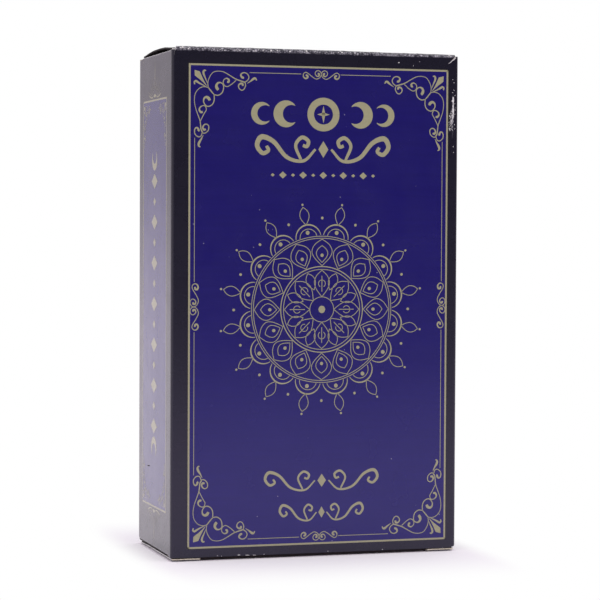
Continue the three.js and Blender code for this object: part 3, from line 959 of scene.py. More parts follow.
CARD, CARD_SHIFT = 0.00035, 0.00012
stack, given, made = new_tree(
    "stack_of_cards",
    {
        "Cards": ("NodeSocketInt", 78),
        "Width": ("NodeSocketFloat", 0.07),
        "Height": ("NodeSocketFloat", 0.12),
        "Thickness": ("NodeSocketFloat", CARD),
        "Pitch": ("NodeSocketFloat", 0.00038),
        "Corner": ("NodeSocketFloat", 0.004),
        "First": ("NodeSocketVector", (0, 0, 0)),
        "Shift": ("NodeSocketFloat", CARD_SHIFT),
        "Seed": ("NodeSocketInt", 3),
        "Stock": ("NodeSocketMaterial", None),
        "Back": ("NodeSocketMaterial", None),
    },
)
print("inputs of the stack:", [socket.name for socket in given if socket.name])

# %% One card as nodes: a rounded outline, filled, thickened and stood upright
CORNER_STEPS, WELD, UPRIGHT = 6, 0.00001, (math.radians(90), 0, 0)
outline_sockets = {"Width": given["Width"], "Height": given["Height"]}
outline = add_node(stack, "GeometryNodeCurvePrimitiveQuadrilateral", outline_sockets).outputs["Curve"]
corner_sockets = {"Curve": outline, "Radius": given["Corner"], "Count": CORNER_STEPS}
rounded = add_node(stack, "GeometryNodeFilletCurve", corner_sockets, mode="POLY").outputs["Curve"]
leaf = add_node(stack, "GeometryNodeFillCurve", {"Curve": rounded}, mode="NGONS").outputs["Mesh"]
thick_sockets = {"Mesh": leaf, "Offset Scale": given["Thickness"], "Individual": False}
thick = add_node(stack, "GeometryNodeExtrudeMesh", thick_sockets).outputs["Mesh"]
flipped = add_node(stack, "GeometryNodeFlipFaces", {"Mesh": leaf}).outputs["Mesh"]
joined = add_node(stack, "GeometryNodeJoinGeometry")
for half in (flipped, thick):
    stack.links.new(half, joined.inputs["Geometry"])
weld_sockets = {"Geometry": joined.outputs["Geometry"], "Distance": WELD}
closed = add_node(stack, "GeometryNodeMergeByDistance", weld_sockets).outputs["Geometry"]
upright_sockets = {"Geometry": closed, "Rotation": UPRIGHT}
upright = add_node(stack, "GeometryNodeTransform", upright_sockets).outputs["Geometry"]
print("nodes for one card:", len(stack.nodes))

# %% The cards dealt along a line, with white edges
step = add_node(stack, "ShaderNodeCombineXYZ", {"Y": given["Pitch"]}).outputs[0]
line_sockets = {"Count": given["Cards"], "Start Location": given["First"], "Offset": step}
line = add_node(stack, "GeometryNodeMeshLine", line_sockets).outputs["Mesh"]
jitter_sockets = {0: (-1, 0, 0), 1: (1, 0, 1), "Seed": given["Seed"]}
jitter = add_node(stack, "FunctionNodeRandomValue", jitter_sockets, data_type="FLOAT_VECTOR").outputs[0]
amount_sockets = {0: jitter, "Scale": given["Shift"]}
amount = add_node(stack, "ShaderNodeVectorMath", amount_sockets, operation="SCALE").outputs[0]
move_sockets = {"Geometry": line, "Offset": amount}
moved = add_node(stack, "GeometryNodeSetPosition", move_sockets).outputs["Geometry"]
dealt = add_node(stack, "GeometryNodeInstanceOnPoints", {"Points": moved, "Instance": upright})
real = add_node(stack, "GeometryNodeRealizeInstances", {"Geometry": dealt.outputs["Instances"]})
back_sockets = {"Geometry": real.outputs["Geometry"], "Material": given["Back"]}
backed = add_node(stack, "GeometryNodeSetMaterial", back_sockets).outputs["Geometry"]
slope = add_node(stack, "GeometryNodeInputNormal").outputs["Normal"]
facing = math_node(stack, "ABSOLUTE", add_node(stack, "ShaderNodeSeparateXYZ", {0: slope}).outputs["Y"])
on_edge = add_node(stack, "FunctionNodeCompare", {0: facing, 1: 0.5}, operation="LESS_THAN")
edge_sockets = {"Geometry": backed, "Selection": on_edge.outputs["Result"], "Material": given["Stock"]}
edged = add_node(stack, "GeometryNodeSetMaterial", edge_sockets)
stack.links.new(edged.outputs["Geometry"], made["Geometry"])
print("nodes for the stack:", len(stack.nodes))

# %% Stack the deck in its CAD box
card_nodes = [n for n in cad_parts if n.startswith("major_card") or "_pair_" in n]
deck_low = np.min([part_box(n)[0] for n in card_nodes], axis=0)
deck_high = np.max([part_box(n)[1] for n in card_nodes], axis=0)
deck_size = deck_high - deck_low
first_card = (0.0, float(deck_low[1]) + CARD, float(deck_low[2] + deck_high[2] - CARD_SHIFT) / 2)
deck_values = {
    "Width": float(deck_size[0]) - 2 * CARD_SHIFT,
    "Height": float(deck_size[2]) - CARD_SHIFT,
    "Thickness": CARD,
    "Shift": CARD_SHIFT,
    "First": first_card,
    "Stock": card_stock,
    "Back": card_back,
}
deck = run_tree("card_stack", bpy.data.meshes.new("empty"), stack, deck_values)
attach(deck, "deck")
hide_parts(*card_nodes)
deck_points = np.array([v.co for v in deck.data.vertices])
print("deck:", deck_points.min(axis=0), deck_points.max(axis=0), "CAD:", deck_low, deck_high)

# %% [markdown]
# ## Ornament in gold ink
# The print is line work: frame lines, corner scrolls, small scrolls at the middle of each edge and a
# round rosette. Each stroke is a path with a width at each point, drawn flat. One Geometry Nodes tree
# sweeps a flat-topped ribbon along all paths of a panel, with a shallow keel that sinks into the board,
# so that no gap shows under it. The ribbons are then laid on the panel's own surface and follow its
# bow. Ink as geometry stays sharp in a close view, where a texture would blur.

# %% A tree that inks paths
KEEL_SHARE = 0.72
inking, given, made = new_tree(
    "ink_along_paths",
    {
        "Geometry": ("NodeSocketGeometry", None),
        "Keel": ("NodeSocketFloat", 0.06),
        "Ink": ("NodeSocketMaterial", None),
    },
)
lines = add_node(inking, "GeometryNodeMeshToCurve", {"Mesh": given["Geometry"]}).outputs["Curve"]
level = add_node(inking, "GeometryNodeSetCurveNormal", {"Curve": lines}, mode="Z_UP").outputs["Curve"]
section_sockets = {"Point 1": (1, 0, 0), "Point 4": (-1, 0, 0)}
for label, across in (("Point 2", KEEL_SHARE), ("Point 3", -KEEL_SHARE)):
    corner = add_node(inking, "ShaderNodeCombineXYZ", {"X": across, "Y": given["Keel"]})
    section_sockets[label] = corner.outputs[0]
section = add_node(inking, "GeometryNodeCurvePrimitiveQuadrilateral", section_sockets, mode="POINTS")
widths = add_node(inking, "GeometryNodeInputNamedAttribute", {"Name": "half_width"}, data_type="FLOAT")
sweep_sockets = {
    "Curve": level, "Profile Curve": section.outputs["Curve"],
    "Scale": widths.outputs["Attribute"], "Fill Caps": True,
}
swept = add_node(inking, "GeometryNodeCurveToMesh", sweep_sockets).outputs["Mesh"]
real = add_node(inking, "GeometryNodeRealizeInstances", {"Geometry": swept}).outputs["Geometry"]
inked = add_node(inking, "GeometryNodeSetMaterial", {"Geometry": real, "Material": given["Ink"]})
inking.links.new(inked.outputs["Geometry"], made["Geometry"])
print("nodes for inking:", len(inking.nodes))

# %% Lay inked paths on a panel
INK_KEEL, INK_LIFT = 0.06, 0.012


def ink_on(name, panel, strokes, ink, keel=INK_KEEL, lift=INK_LIFT):
    """A piece of ribbons from strokes, each a list of (u, v, half width) in mm, laid on a panel."""
    points, edges, half = [], [], []
    for stroke in strokes:
        base = len(points)
        points += [(u, v, 0.0) for u, v, _ in stroke]
        half += [w for _, _, w in stroke]
        edges += [(base + i, base + i + 1) for i in range(len(stroke) - 1)]
    mesh = bpy.data.meshes.new(name + "_paths")
    mesh.from_pydata(points, edges, [])
    attribute = mesh.attributes.new("half_width", "FLOAT", "POINT")
    attribute.data.foreach_set("value", np.array(half, dtype=np.float32))
    piece = run_tree(name, mesh, inking, {"Keel": keel, "Ink": ink})
    flat = np.zeros(len(piece.data.vertices) * 3)
    piece.data.vertices.foreach_get("co", flat)
    flat = flat.reshape(-1, 3)
    put = on_panel(panel, flat[:, 0], flat[:, 1], flat[:, 2] + lift) * MM
    piece.data.vertices.foreach_set("co", put.reshape(-1))
    piece.data.update()
    face_count = len(piece.data.polygons)
    piece.data.polygons.foreach_set("use_smooth", np.zeros(face_count, dtype=bool))
    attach(piece, "carton")
    print(name, "strokes:", len(strokes), "faces:", face_count, "keel (mm):", flat[:, 2].min())


print("ink stands", INK_LIFT, "mm proud of the board")

# %% Drawing helpers: smooth curves, tapers, circles and mirrors
CURVE_STEP, ARC_STEP, THINNEST = 0.22, 0.3, 0.02


def smooth(points):
    """A Catmull-Rom curve through points (u, v, half width), in steps of about CURVE_STEP."""
    p = np.array(points, dtype=float)
    ends = np.vstack([2 * p[0] - p[1], p, 2 * p[-1] - p[-2]])
    made = []
    for a, b, c, d in zip(ends, ends[1:], ends[2:], ends[3:]):
        steps = max(2, int(np.hypot(*(c - b)[:2]) / CURVE_STEP))
        for t in np.arange(steps) / steps:
            bend = 2 * b + (c - a) * t + (2 * a - 5 * b + 4 * c - d) * t**2
            made.append(0.5 * (bend + (3 * b - a - 3 * c + d) * t**3))
    made.append(p[-1])
    return [(u, v, max(w, THINNEST)) for u, v, w in made]


def tapered(points, first, middle, last):
    """Points (u, v) given a half width that swells from the first to the middle and thins to the last."""
    shares = np.linspace(0, 1, len(points))
    halves = np.interp(shares, (0, 0.5, 1), (first, middle, last))
    return [(u, v, float(half)) for (u, v), half in zip(points, halves)]


def dropped(points, stem, end):
    """Points (u, v) given a half width that keeps to the stem's for most of the way and ends in a drop."""
    shares = np.linspace(0, 1, len(points))
    halves = np.interp(shares, (0, 0.55, 0.88, 1), (stem, stem * 1.1, end, end * 0.8))
    return [(u, v, float(half)) for (u, v), half in zip(points, halves)]


def straight(a, b, width, pieces=1):
    """A line of even width from a to b, in enough steps to follow the panel's bow."""
    shares = np.linspace(0, 1, pieces + 1)
    return [(a[0] + (b[0] - a[0]) * s, a[1] + (b[1] - a[1]) * s, width / 2) for s in shares]


def arc(centre, radius, first, last, half, swell=0.0):
    """An arc, angles in degrees, whose half width may swell towards its middle."""
    steps = max(6, int(abs(last - first) * math.pi / 180 * radius / ARC_STEP))
    made = []
    for i, a in enumerate(np.radians(np.linspace(first, last, steps + 1))):
        width = half + swell * math.sin(math.pi * (i / steps))
        made.append((centre[0] + radius * math.cos(a), centre[1] + radius * math.sin(a), width))
    return made


def mirrored(strokes, u=None, v=None):
    """Strokes mirrored about a vertical line at u or a level line at v."""

    def across(line, place):
        return place if line is None else 2 * line - place

    return [[(across(u, a), across(v, b), w) for a, b, w in stroke] for stroke in strokes]


print("points of a circle 10 mm across:", len(arc((0, 0), 5.0, 0, 360, 0.1)))

# %% [markdown]
# ## Frame lines and corner scrolls
# Scroll filigree in the corners of a ruled frame is a printer's stock ornament. One corner is drawn as
# strokes, from the frame's outer corner inwards, and mirrored to the other three. Widths swell in the
# middle of a leaf and thin towards the ends, as a pen would draw it.

# %% Strokes of the filigree, in mm right and down from the frame's corner
LEAF_WIDTHS = ((0, 0.05), (0.25, 0.22), (0.5, 0.52), (0.68, 0.82), (0.79, 0.98), (1, 0.02))


def corner_points(flat_points):
    """Design points in mm, right and down from the frame's corner, as mm right and up from it."""
    return [(right, -down) for right, down in flat_points]


def corner_stroke(flat_points, *halves):
    """A stem or leaf of a corner, which swells and thins."""
    return smooth(tapered(corner_points(flat_points), *halves))


def curl_stroke(flat_points, stem, end):
    """A curl of a corner, which ends in a drop."""
    return smooth(dropped(corner_points(flat_points), stem, end))


def leaf_stroke(tip, end):
    """The corner's own leaf: a straight stroke whose half width follows LEAF_WIDTHS along its length."""
    (a, b), (c, d) = corner_points([tip, end])
    shares = np.linspace(0, 1, 33)
    halves = np.interp(shares, *zip(*LEAF_WIDTHS))
    return [(a + (c - a) * s, b + (d - b) * s, float(half)) for s, half in zip(shares, halves)]


print("the corner leaf swells to", max(half for _, half in LEAF_WIDTHS), "mm each way")

# %% One corner of filigree
LEAF, STEM, TIP_LEAF = (0.08, 0.35, 0.16), (0.12, 0.105, 0.2), (0.06, 0.36, 0.16)
LARGE_CURL, SMALL_CURL, END_CURL = (0.15, 0.46), (0.12, 0.34), (0.14, 0.34)
corner_art = [
    leaf_stroke((4.55, 5.45), (1.45, 1.6)),
    corner_stroke([
        (4.6, 4.65), (4.1, 3.45), (3.7, 2.55), (3.65, 1.95), (3.95, 1.6), (4.3, 1.75),
    ], *LEAF),
    corner_stroke([
        (4.3, 5.55), (3.2, 5.05), (2.25, 4.55), (1.75, 4.25), (1.35, 4.55), (1.5, 5.05),
    ], *LEAF),
    corner_stroke([
        (4.85, 5.6), (4.75, 4.6), (5.15, 3.3), (6.05, 2.1), (7.25, 1.75),
        (8.65, 1.9), (10, 2.55), (11.65, 3.5), (12.9, 3.95), (14.1, 4.3),
    ], *STEM),
    corner_stroke([
        (4.85, 5.75), (3.8, 5.6), (2.6, 6.05), (1.65, 7.25), (1.4, 8.85), (1.65, 10.6),
        (2.2, 12.2), (2.8, 13.8), (2.95, 14.8), (3.1, 16), (3.5, 16.7),
    ], *STEM),
    corner_stroke([(4.85, 5.75), (5.6, 6.65), (6.35, 7.5)], 0.16, 0.18, 0.14),
    curl_stroke([
        (6.45, 7.5), (7.4, 7.6), (8.35, 6.95), (8.7, 5.9), (8.65, 5.05),
        (8.05, 4.55), (7.35, 4.6), (6.9, 5.2), (7.05, 5.9), (7.4, 6.3),
    ], *LARGE_CURL),
    curl_stroke([
        (6.35, 7.6), (6.35, 8.85), (5.9, 9.85), (5, 10.35), (4.25, 10.15),
        (3.7, 9.25), (3.85, 8.4), (4.4, 8.1), (5, 8.4), (5.25, 8.9),
    ], *LARGE_CURL),
    curl_stroke([
        (11.9, 3.85), (10.6, 4.95), (9.6, 5.45), (8.85, 5.1), (8.6, 4.3),
        (8.95, 3.65), (9.55, 3.45), (10.05, 3.8), (9.95, 4.3), (9.6, 4.3),
    ], *SMALL_CURL),
    curl_stroke([
        (2.9, 13.95), (3.8, 12.2), (4.4, 11.15), (4.1, 10.3), (3.5, 10.2),
        (2.8, 10.65), (2.65, 11.3), (3.05, 11.8), (3.5, 11.7),
    ], *SMALL_CURL),
    curl_stroke([
        (14.1, 4.3), (14.85, 3.7), (15.1, 3), (14.7, 2.25), (13.95, 1.95),
        (13.25, 2.2), (13.05, 2.65), (13.4, 3.15), (13.85, 3.2),
    ], *END_CURL),
    curl_stroke([
        (14.15, 4.4), (14.25, 5.2), (13.8, 6.05), (13.2, 6.25), (12.6, 5.75),
        (12.5, 5.05), (13.05, 4.6), (13.5, 4.75), (13.55, 5.2),
    ], *END_CURL),
    curl_stroke([
        (3.4, 16.7), (3.05, 17.6), (2.35, 17.75), (1.6, 17.15), (1.45, 16.3),
        (1.75, 15.6), (2.2, 15.6), (2.5, 16.15), (2.35, 16.4),
    ], *END_CURL),
    curl_stroke([
        (3.35, 16.8), (4.1, 16.85), (4.9, 16.15), (5, 15.1), (4.4, 14.65),
        (3.8, 14.9), (3.5, 15.55), (3.85, 16.05), (4.25, 15.85),
    ], *END_CURL),
    corner_stroke([(14.7, 4.55), (15.6, 3.95), (16.35, 3.35), (16.8, 3.3), (17.05, 3.8)], *TIP_LEAF),
    corner_stroke([(3.65, 17.3), (3.2, 18.2), (2.6, 19.2), (2.5, 19.95), (2.95, 20.2)], *TIP_LEAF),
]
print("corner strokes:", len(corner_art), "points:", sum(len(stroke) for stroke in corner_art))

# %% Ruled lines and edge scrolls
EDGE_STEM, EDGE_DROP = 0.095, 0.26
OUTER_CURVE = [
    (0, 0.51), (0.08, 0.22), (0.28, 0.05), (0.51, 0.3), (0.73, 0.64), (0.87, 0.75),
    (0.98, 0.58), (0.98, 0.26), (0.86, 0.08), (0.75, 0.2), (0.77, 0.4), (0.86, 0.43),
]
INNER_CURVE = [
    (0, 0.5), (0.04, 0.8), (0.17, 0.96), (0.3, 0.86), (0.34, 0.6),
    (0.24, 0.34), (0.13, 0.4), (0.13, 0.6), (0.2, 0.64),
]


def rectangle(u0, u1, v0, v1, width):
    """Four butted lines of a frame, inside the rectangle's edges."""
    h = width / 2
    level = [straight((u0, v), (u1, v), width, 24) for v in (v1 - h, v0 + h)]
    return level + [straight((u, v0), (u, v1), width, 36) for u in (u0 + h, u1 - h)]


def edge_scroll(half_length, height):
    """One half of a scroll pair: points along an edge from its middle, and up from a base line."""
    halves = []
    for curve in (OUTER_CURVE, INNER_CURVE):
        halves.append(dropped([(-a * half_length, b * height) for a, b in curve], EDGE_STEM, EDGE_DROP))
    return halves


print("points of half an edge scroll:", [len(stroke) for stroke in edge_scroll(1.0, 1.0)])

# %% A framed panel face: gold frame, thin inner rule, four corners and four edge scrolls
RULE_INSET, RULE_START, RULE_WIDTH = (1.5, 1.92), (15.3, 18.0), 0.15
PEN, CORNER_SHIFT = 0.82, 0.1
EDGE_GAP = {"level": 5.1, "upright": 6.1}
SCROLL_HEIGHT, LEVEL_HALF, UPRIGHT_HALF = 2.3, 4.7, 5.66
SCROLL_SHIFT, SCROLL_BASE, SCROLL_INSET = 0.12, 3.2, 0.38


def framed_panel(frame_box):
    """All the ruled and scrolled ornament round the edge of a large panel."""
    u0, u1, v0, v1 = frame_box
    mid_u, mid_v = (u0 + u1) / 2, (v0 + v1) / 2
    strokes = rectangle(u0, u1, v0, v1, FRONT_LINE)
    left_top = [[(u0 + a, v1 + b, w * PEN) for a, b, w in stroke] for stroke in corner_art]
    top = left_top + mirrored(left_top, u=mid_u + CORNER_SHIFT)
    strokes += top + mirrored(top, v=mid_v)
    rule_u, rule_v = u0 + RULE_INSET[0], v1 - RULE_INSET[1]
    level_end, upright_end = mid_u - EDGE_GAP["level"], mid_v + EDGE_GAP["upright"]
    rules = [straight((u0 + RULE_START[0], rule_v), (level_end, rule_v), RULE_WIDTH, 8)]
    rules += [straight((rule_u, v1 - RULE_START[1]), (rule_u, upright_end), RULE_WIDTH, 12)]
    rules += mirrored(rules, u=mid_u)
    strokes += rules + mirrored(rules, v=mid_v)
    level = []
    for half in edge_scroll(LEVEL_HALF, SCROLL_HEIGHT):
        level.append(smooth([(mid_u + SCROLL_SHIFT + a, v1 - SCROLL_BASE + b, w) for a, b, w in half]))
    level += mirrored(level, u=mid_u + SCROLL_SHIFT)
    strokes += level + mirrored(level, v=mid_v)
    upright = []
    for half in edge_scroll(UPRIGHT_HALF, SCROLL_HEIGHT):
        upright.append(smooth([(u0 + SCROLL_INSET + SCROLL_HEIGHT - b, mid_v - a, w) for a, b, w in half]))
    upright += mirrored(upright, v=mid_v)
    return strokes + upright + mirrored(upright, u=mid_u)


for panel in ("front", "back"):
    ink_on(f"{panel}_frame_ink", panel, framed_panel(FRONT_FRAME), gold_ink)

# %% [markdown]
# ## The rosette and the small ornaments
# The middle of the panel holds a round geometric rosette: rings, petals and dots in eightfold and
# sixteenfold repetition, all from a few rules of compass drawing. Above and below it are rows of moon
# phases, lozenges and scrolls. They're plain ornament, laid out to fill the panel as evenly as the
# print does.

# %% Petals, dots and turns
FINE = 0.085
PETAL_SWELL = [(0.0, 0.0), (0.75, 0.3), (1.0, 0.55), (0.7, 0.8), (0.0, 1.0)]


def turned_about(strokes, centre, angle):
    """Strokes turned about a point by an angle in degrees."""
    cu, cv = centre
    c, s = math.cos(math.radians(angle)), math.sin(math.radians(angle))

    def turned_point(a, b):
        return cu + (a - cu) * c - (b - cv) * s, cv + (a - cu) * s + (b - cv) * c

    return [[(*turned_point(a, b), w) for a, b, w in stroke] for stroke in strokes]


def petal(centre, inner, outer, half_angle):
    """Two arcs that meet in a point, upright from a centre."""
    cu, cv = centre
    width = math.tan(math.radians(half_angle)) * (inner + outer) / 2
    right = [(cu + width * a, cv + inner + (outer - inner) * b, FINE) for a, b in PETAL_SWELL]
    left = [(2 * cu - u, v, w) for u, v, w in right]
    return [smooth(right), smooth(left)]


def dot(centre, radius):
    """A filled dot: a short, fat stroke that narrows at its ends."""
    made = []
    for x in np.linspace(-1, 1, 9):
        half = radius * math.sqrt(max(1 - x * x, 0.0)) + 0.01
        made.append((centre[0] + radius * x, centre[1], half))
    return made


print("a petal has", [len(side) for side in petal((0, 0), 3.0, 9.0, 15)], "points along its sides")

# %% A rosette from compass rules
ROSETTE = (1.2, 61.3)
# a ring is its radius and half width, a petal from, to and half angle, a dot how far out and its radius
RINGS = ((10.6, 0.12), (9.9, FINE), (3.1, FINE), (17.6, FINE), (18.1, FINE))
CORE_PETAL, SMALL_PETAL, LACE_PETAL = (3.1, 9.7, 17), (5.2, 9.6, 9), (21.2, 25.7, 2.9)
OUTER_LOTUS, INNER_LOTUS = (10.8, 17.4, 10.5), (11.6, 15.8, 6.2)
HUB_DOT = 0.9
LOTUS_DOT, RIM_DOT, LACE_DOT, GAP_DOT = (13.4, 0.42), (19.3, 0.5), (26.3, 0.28), (22.6, 0.34)
VEIN, VEIN_WIDTH = (4.4, 8.3), 0.18
CORE_ARC, RIM_BASE, RIM_ARC, RIM_INNER = (6.4, 0.9), 18.0, 3.25, 2.2
EIGHTH, SIXTEENTH = 45, 22.5


def rosette(centre):
    """Rings, petals and dots round a centre, about 51 mm across."""
    cu, cv = centre

    def dot_above(out, radius):
        return dot((cu, cv + out), radius)

    strokes = [arc(centre, radius, 0, 360, half) for radius, half in RINGS] + [dot(centre, HUB_DOT)]
    core = petal(centre, *CORE_PETAL) + [straight((cu, cv + VEIN[0]), (cu, cv + VEIN[1]), VEIN_WIDTH, 4)]
    core += [arc((cu, cv + CORE_ARC[0]), CORE_ARC[1], -60, 240, FINE)]
    small = petal(centre, *SMALL_PETAL)
    lotus = petal(centre, *OUTER_LOTUS) + petal(centre, *INNER_LOTUS) + [dot_above(*LOTUS_DOT)]
    rim = [arc((cu, cv + RIM_BASE), RIM_ARC, 2, 178, 0.08, 0.1)]
    rim += [arc((cu, cv + RIM_BASE), RIM_INNER, 4, 176, FINE), dot_above(*RIM_DOT)]
    lace = petal(centre, *LACE_PETAL) + [dot_above(*LACE_DOT)]
    gap = [dot_above(*GAP_DOT)]
    for i in range(8):
        strokes += turned_about(core, centre, EIGHTH * i)
        strokes += turned_about(small, centre, EIGHTH * i + EIGHTH / 2)
    for i in range(16):
        strokes += turned_about(lotus, centre, SIXTEENTH * i)
        strokes += turned_about(rim + lace, centre, SIXTEENTH * i + SIXTEENTH / 2)
        strokes += turned_about(gap, centre, SIXTEENTH * i)
    return strokes


print("strokes of the rosette:", len(rosette(ROSETTE)))

# %% Moon phases, lozenges, stars and scroll bars
BAR_CURVE = [
    (0.12, 0.0), (0.3, -0.42), (0.55, -0.3), (0.75, 0.25), (0.93, 0.42),
    (1.0, 0.12), (0.92, -0.16), (0.83, -0.06), (0.86, 0.1),
]
BAR_CURL = [(0.34, -0.38), (0.42, 0.12), (0.33, 0.42), (0.23, 0.3), (0.25, 0.1), (0.31, 0.14)]


def crescent(centre, radius, opening, thickness):
    """A crescent as one swelling stroke, open towards an angle in degrees."""
    return arc(centre, radius - thickness / 2, opening + 50, opening + 310, 0.05, thickness / 2)


def lozenge(centre, half_u, half_v):
    """A filled lozenge: a level stroke that swells in the middle."""
    shares = (-1, -0.5, 0, 0.5, 1)
    return [(centre[0] + half_u * x, centre[1], half_v * (1 - abs(x)) + THINNEST) for x in shares]


def tall_lozenge(centre, half_u, half_v, shoulder=0.5):
    """A filled lozenge drawn as an upright stroke."""
    shares = (-1, -shoulder, 0, shoulder, 1)
    return [(centre[0], centre[1] + half_v * x, half_u * (1 - abs(x)) + THINNEST) for x in shares]


def star(centre, radius):
    """A four-pointed star from two crossed lozenges."""
    waist = 0.22 * radius
    return [lozenge(centre, radius * 0.75, waist), tall_lozenge(centre, waist, radius, 0.4)]


def scroll_bar(centre, half_length, height, half):
    """A pair of S scrolls lying end to end with a lozenge between them."""
    cu, cv = centre
    right = []
    for curve, pen in ((BAR_CURVE, (0.6, 1.3, 0.8)), (BAR_CURL, (0.7, 1.0, 0.8))):
        points = [(cu + a * half_length, cv + b * height) for a, b in curve]
        right.append(smooth(tapered(points, *(half * share for share in pen))))
    return right + mirrored(right, u=cu) + [lozenge(centre, half_length * 0.075, height * 0.3)]


print("strokes of a scroll bar:", len(scroll_bar((0, 0), 10.0, 4.0, 0.3)))

# %% The column of ornament down a large panel
ORNAMENT_MIDDLE = 1.4
MOON_ROW, FULL_MOON, MOON_STAR = 109.4, (3.3, 0.85), 2.1
CRESCENTS = ((9.0, 3.8, 2.3), (15.4, 3.1, 1.5))  # from the middle, radius, thickness
SCROLL_BARS = ((100.8, 17.0, 6.8, 0.5), (18.9, 14.6, 5.4, 0.3), (11.0, 10.8, 4.6, 0.26))
LOZENGE_ROW, LOZENGE_STEP, LOZENGES = 94.4, 2.6, ((0.95, 0.85), (0.5, 0.4))


def panel_ornament(middle):
    """Rosette, moon phases, a row of lozenges and scroll bars down the middle of a large panel."""
    strokes = rosette(ROSETTE)
    moon = (middle, MOON_ROW)
    strokes += [arc(moon, FULL_MOON[0], 0, 360, FULL_MOON[1])] + star(moon, MOON_STAR)
    for side, opening in ((-1, 0), (1, 180)):
        for out, radius, thickness in CRESCENTS:
            strokes += [crescent((middle + side * out, MOON_ROW), radius, opening, thickness)]
    bars = [scroll_bar((middle, height), *sizes) for height, *sizes in SCROLL_BARS]
    strokes += bars[0]
    strokes += [lozenge((middle + LOZENGE_STEP * i, LOZENGE_ROW), *LOZENGES[i % 2]) for i in range(-5, 6)]
    return strokes + bars[1] + bars[2]


for panel in ("front", "back"):
    ink_on(f"{panel}_ornament_ink", panel, panel_ornament(ORNAMENT_MIDDLE), gold_ink)

# %% [markdown]
# ## The narrow side panels
# A side panel has its own thin frame with small corner scrolls inside, a fan of fine rays outside each
# short end, and a column of lozenges along its middle.

# %% A fan of rays over a boss with two wings
FAN_REACH, FAN_START, FAN_STEP, FAN_FLATTEN = 7.5, 3.0, 11.5, 0.8
MIDDLE_RAY, LONG_RAY, SHORT_RAY = 1.7, 1.0, 0.8
BOSS = ((-1.3, 0.85, 0.05), (0.0, 0.95, 0.5), (1.3, 0.85, 0.05))
WING, WING_PEN = ((1.4, 0.8), (3.2, 0.5), (5.0, 0.85), (6.6, 1.3)), (0.06, 0.2, 0.04)


def fan(mid_u, base):
    """Fine rays above a base line, the middle one longer, with a boss at the foot and two wings."""
    strokes = []
    for i in range(-7, 8):
        angle = math.radians(90 + FAN_STEP * i)
        last = FAN_REACH * (MIDDLE_RAY if i == 0 else LONG_RAY if i % 2 == 0 else SHORT_RAY)
        radii = (FAN_START, 0.6 * last, last)
        ray = [(mid_u + r * math.cos(angle), base + FAN_FLATTEN * r * math.sin(angle)) for r in radii]
        strokes.append(tapered(ray, 0.04, 0.16 if i == 0 else 0.05, 0.02))
    strokes.append([(mid_u + a, base + b, w) for a, b, w in BOSS])
    for side in (-1, 1):
        strokes.append(smooth(tapered([(mid_u + side * a, base + b) for a, b in WING], *WING_PEN)))
    return strokes


print("strokes of a fan:", len(fan(0.0, 0.0)))

# %% Side frames and a column of lozenges
SIDE_CORNER_SCALE, SIDE_CORNER_STRETCH, SIDE_CORNER_INSET, SIDE_PEN = 0.46, 1.25, 0.3, 0.48
COLUMN_STEP, COLUMN_LOZENGES = 5.1, ((3.1, 1.9), (1.3, 1.1))
COLUMN_MOON = (36.4, 3.1, 1.6)  # from the middle, radius, thickness


def side_ornament(frame_box):
    """Frame, corners, fans, lozenges and end moons of a side panel."""
    u0, u1, v0, v1 = frame_box
    mid_u, mid_v = (u0 + u1) / 2, (v0 + v1) / 2
    across, along = SIDE_CORNER_SCALE, SIDE_CORNER_SCALE * SIDE_CORNER_STRETCH
    inner_u, inner_v = u0 + SIDE_CORNER_INSET, v1 - SIDE_CORNER_INSET
    small = []
    for stroke in corner_art:
        small.append([(inner_u + across * a, inner_v + along * b, w * SIDE_PEN) for a, b, w in stroke])
    top = small + mirrored(small, u=mid_u) + fan(mid_u, v1)
    strokes = rectangle(u0, u1, v0, v1, SIDE_LINE) + top + mirrored(top, v=mid_v)
    for i in range(-6, 7):
        strokes.append(tall_lozenge((mid_u, mid_v + COLUMN_STEP * i), *COLUMN_LOZENGES[i % 2]))
    out, radius, thickness = COLUMN_MOON
    for end, opening in ((-1, 270), (1, 90)):
        strokes.append(crescent((mid_u, mid_v + end * out), radius, opening, thickness))
    return strokes


for panel in ("left", "right"):
    ink_on(f"{panel}_side_ink", panel, side_ornament(SIDE_FRAME), gold_ink)

# %% [markdown]
# ## Rubbed and cracked places, and painted glints
# A carton that has been handled shows its white core in small places: a crack at a top corner, flecks
# along the bottom edge, nicks on the folds. Near the front's right edge, nicks, flecks and a ragged
# streak stand partly for cracks in the film and partly for painted glints. They're irregular short
# strokes in the colour of the core, from a fixed seed.

# %% Flecks, a corner crack and a ragged streak, partly painted glints
chance = random.Random(11)
CORNER_CRACK = [
    (34.3, 122.8, 0.04), (34.8, 123.1, 0.08), (35.2, 123.5, 0.07),
    (35.6, 123.75, 0.11), (36.2, 124.35, 0.13),
]
# A ragged white streak on the front's right edge, partly a crack and partly a painted glint
RAGGED_STREAK = [
    (35.55, 114.5, 0.05), (35.6, 114.25, 0.2), (35.62, 113.8, 0.2), (35.48, 113.45, 0.36),
    (35.62, 113.15, 0.12), (35.64, 112.6, 0.08), (35.58, 112.2, 0.2), (35.64, 111.8, 0.14),
    (35.58, 111.3, 0.26), (35.62, 110.8, 0.2), (35.66, 110.3, 0.16), (35.66, 109.95, 0.07),
    (35.56, 109.5, 0.22), (35.53, 109.15, 0.1), (35.5, 108.9, 0.03),
]
BOTTOM_FLECKS = (
    (-25.4, 0.5), (-24.3, 0.3), (-20.2, 1.2), (-18.2, 1.6),
    (-16.3, 1.3), (-13.5, 0.4), (3.0, 0.5), (17.4, 0.4),
)
BOTTOM_BAND, BOTTOM_SPAN, BOTTOM_TILT, BOTTOM_HALF = (0.95, 0.25), 0.7, (-8, 8), 0.055
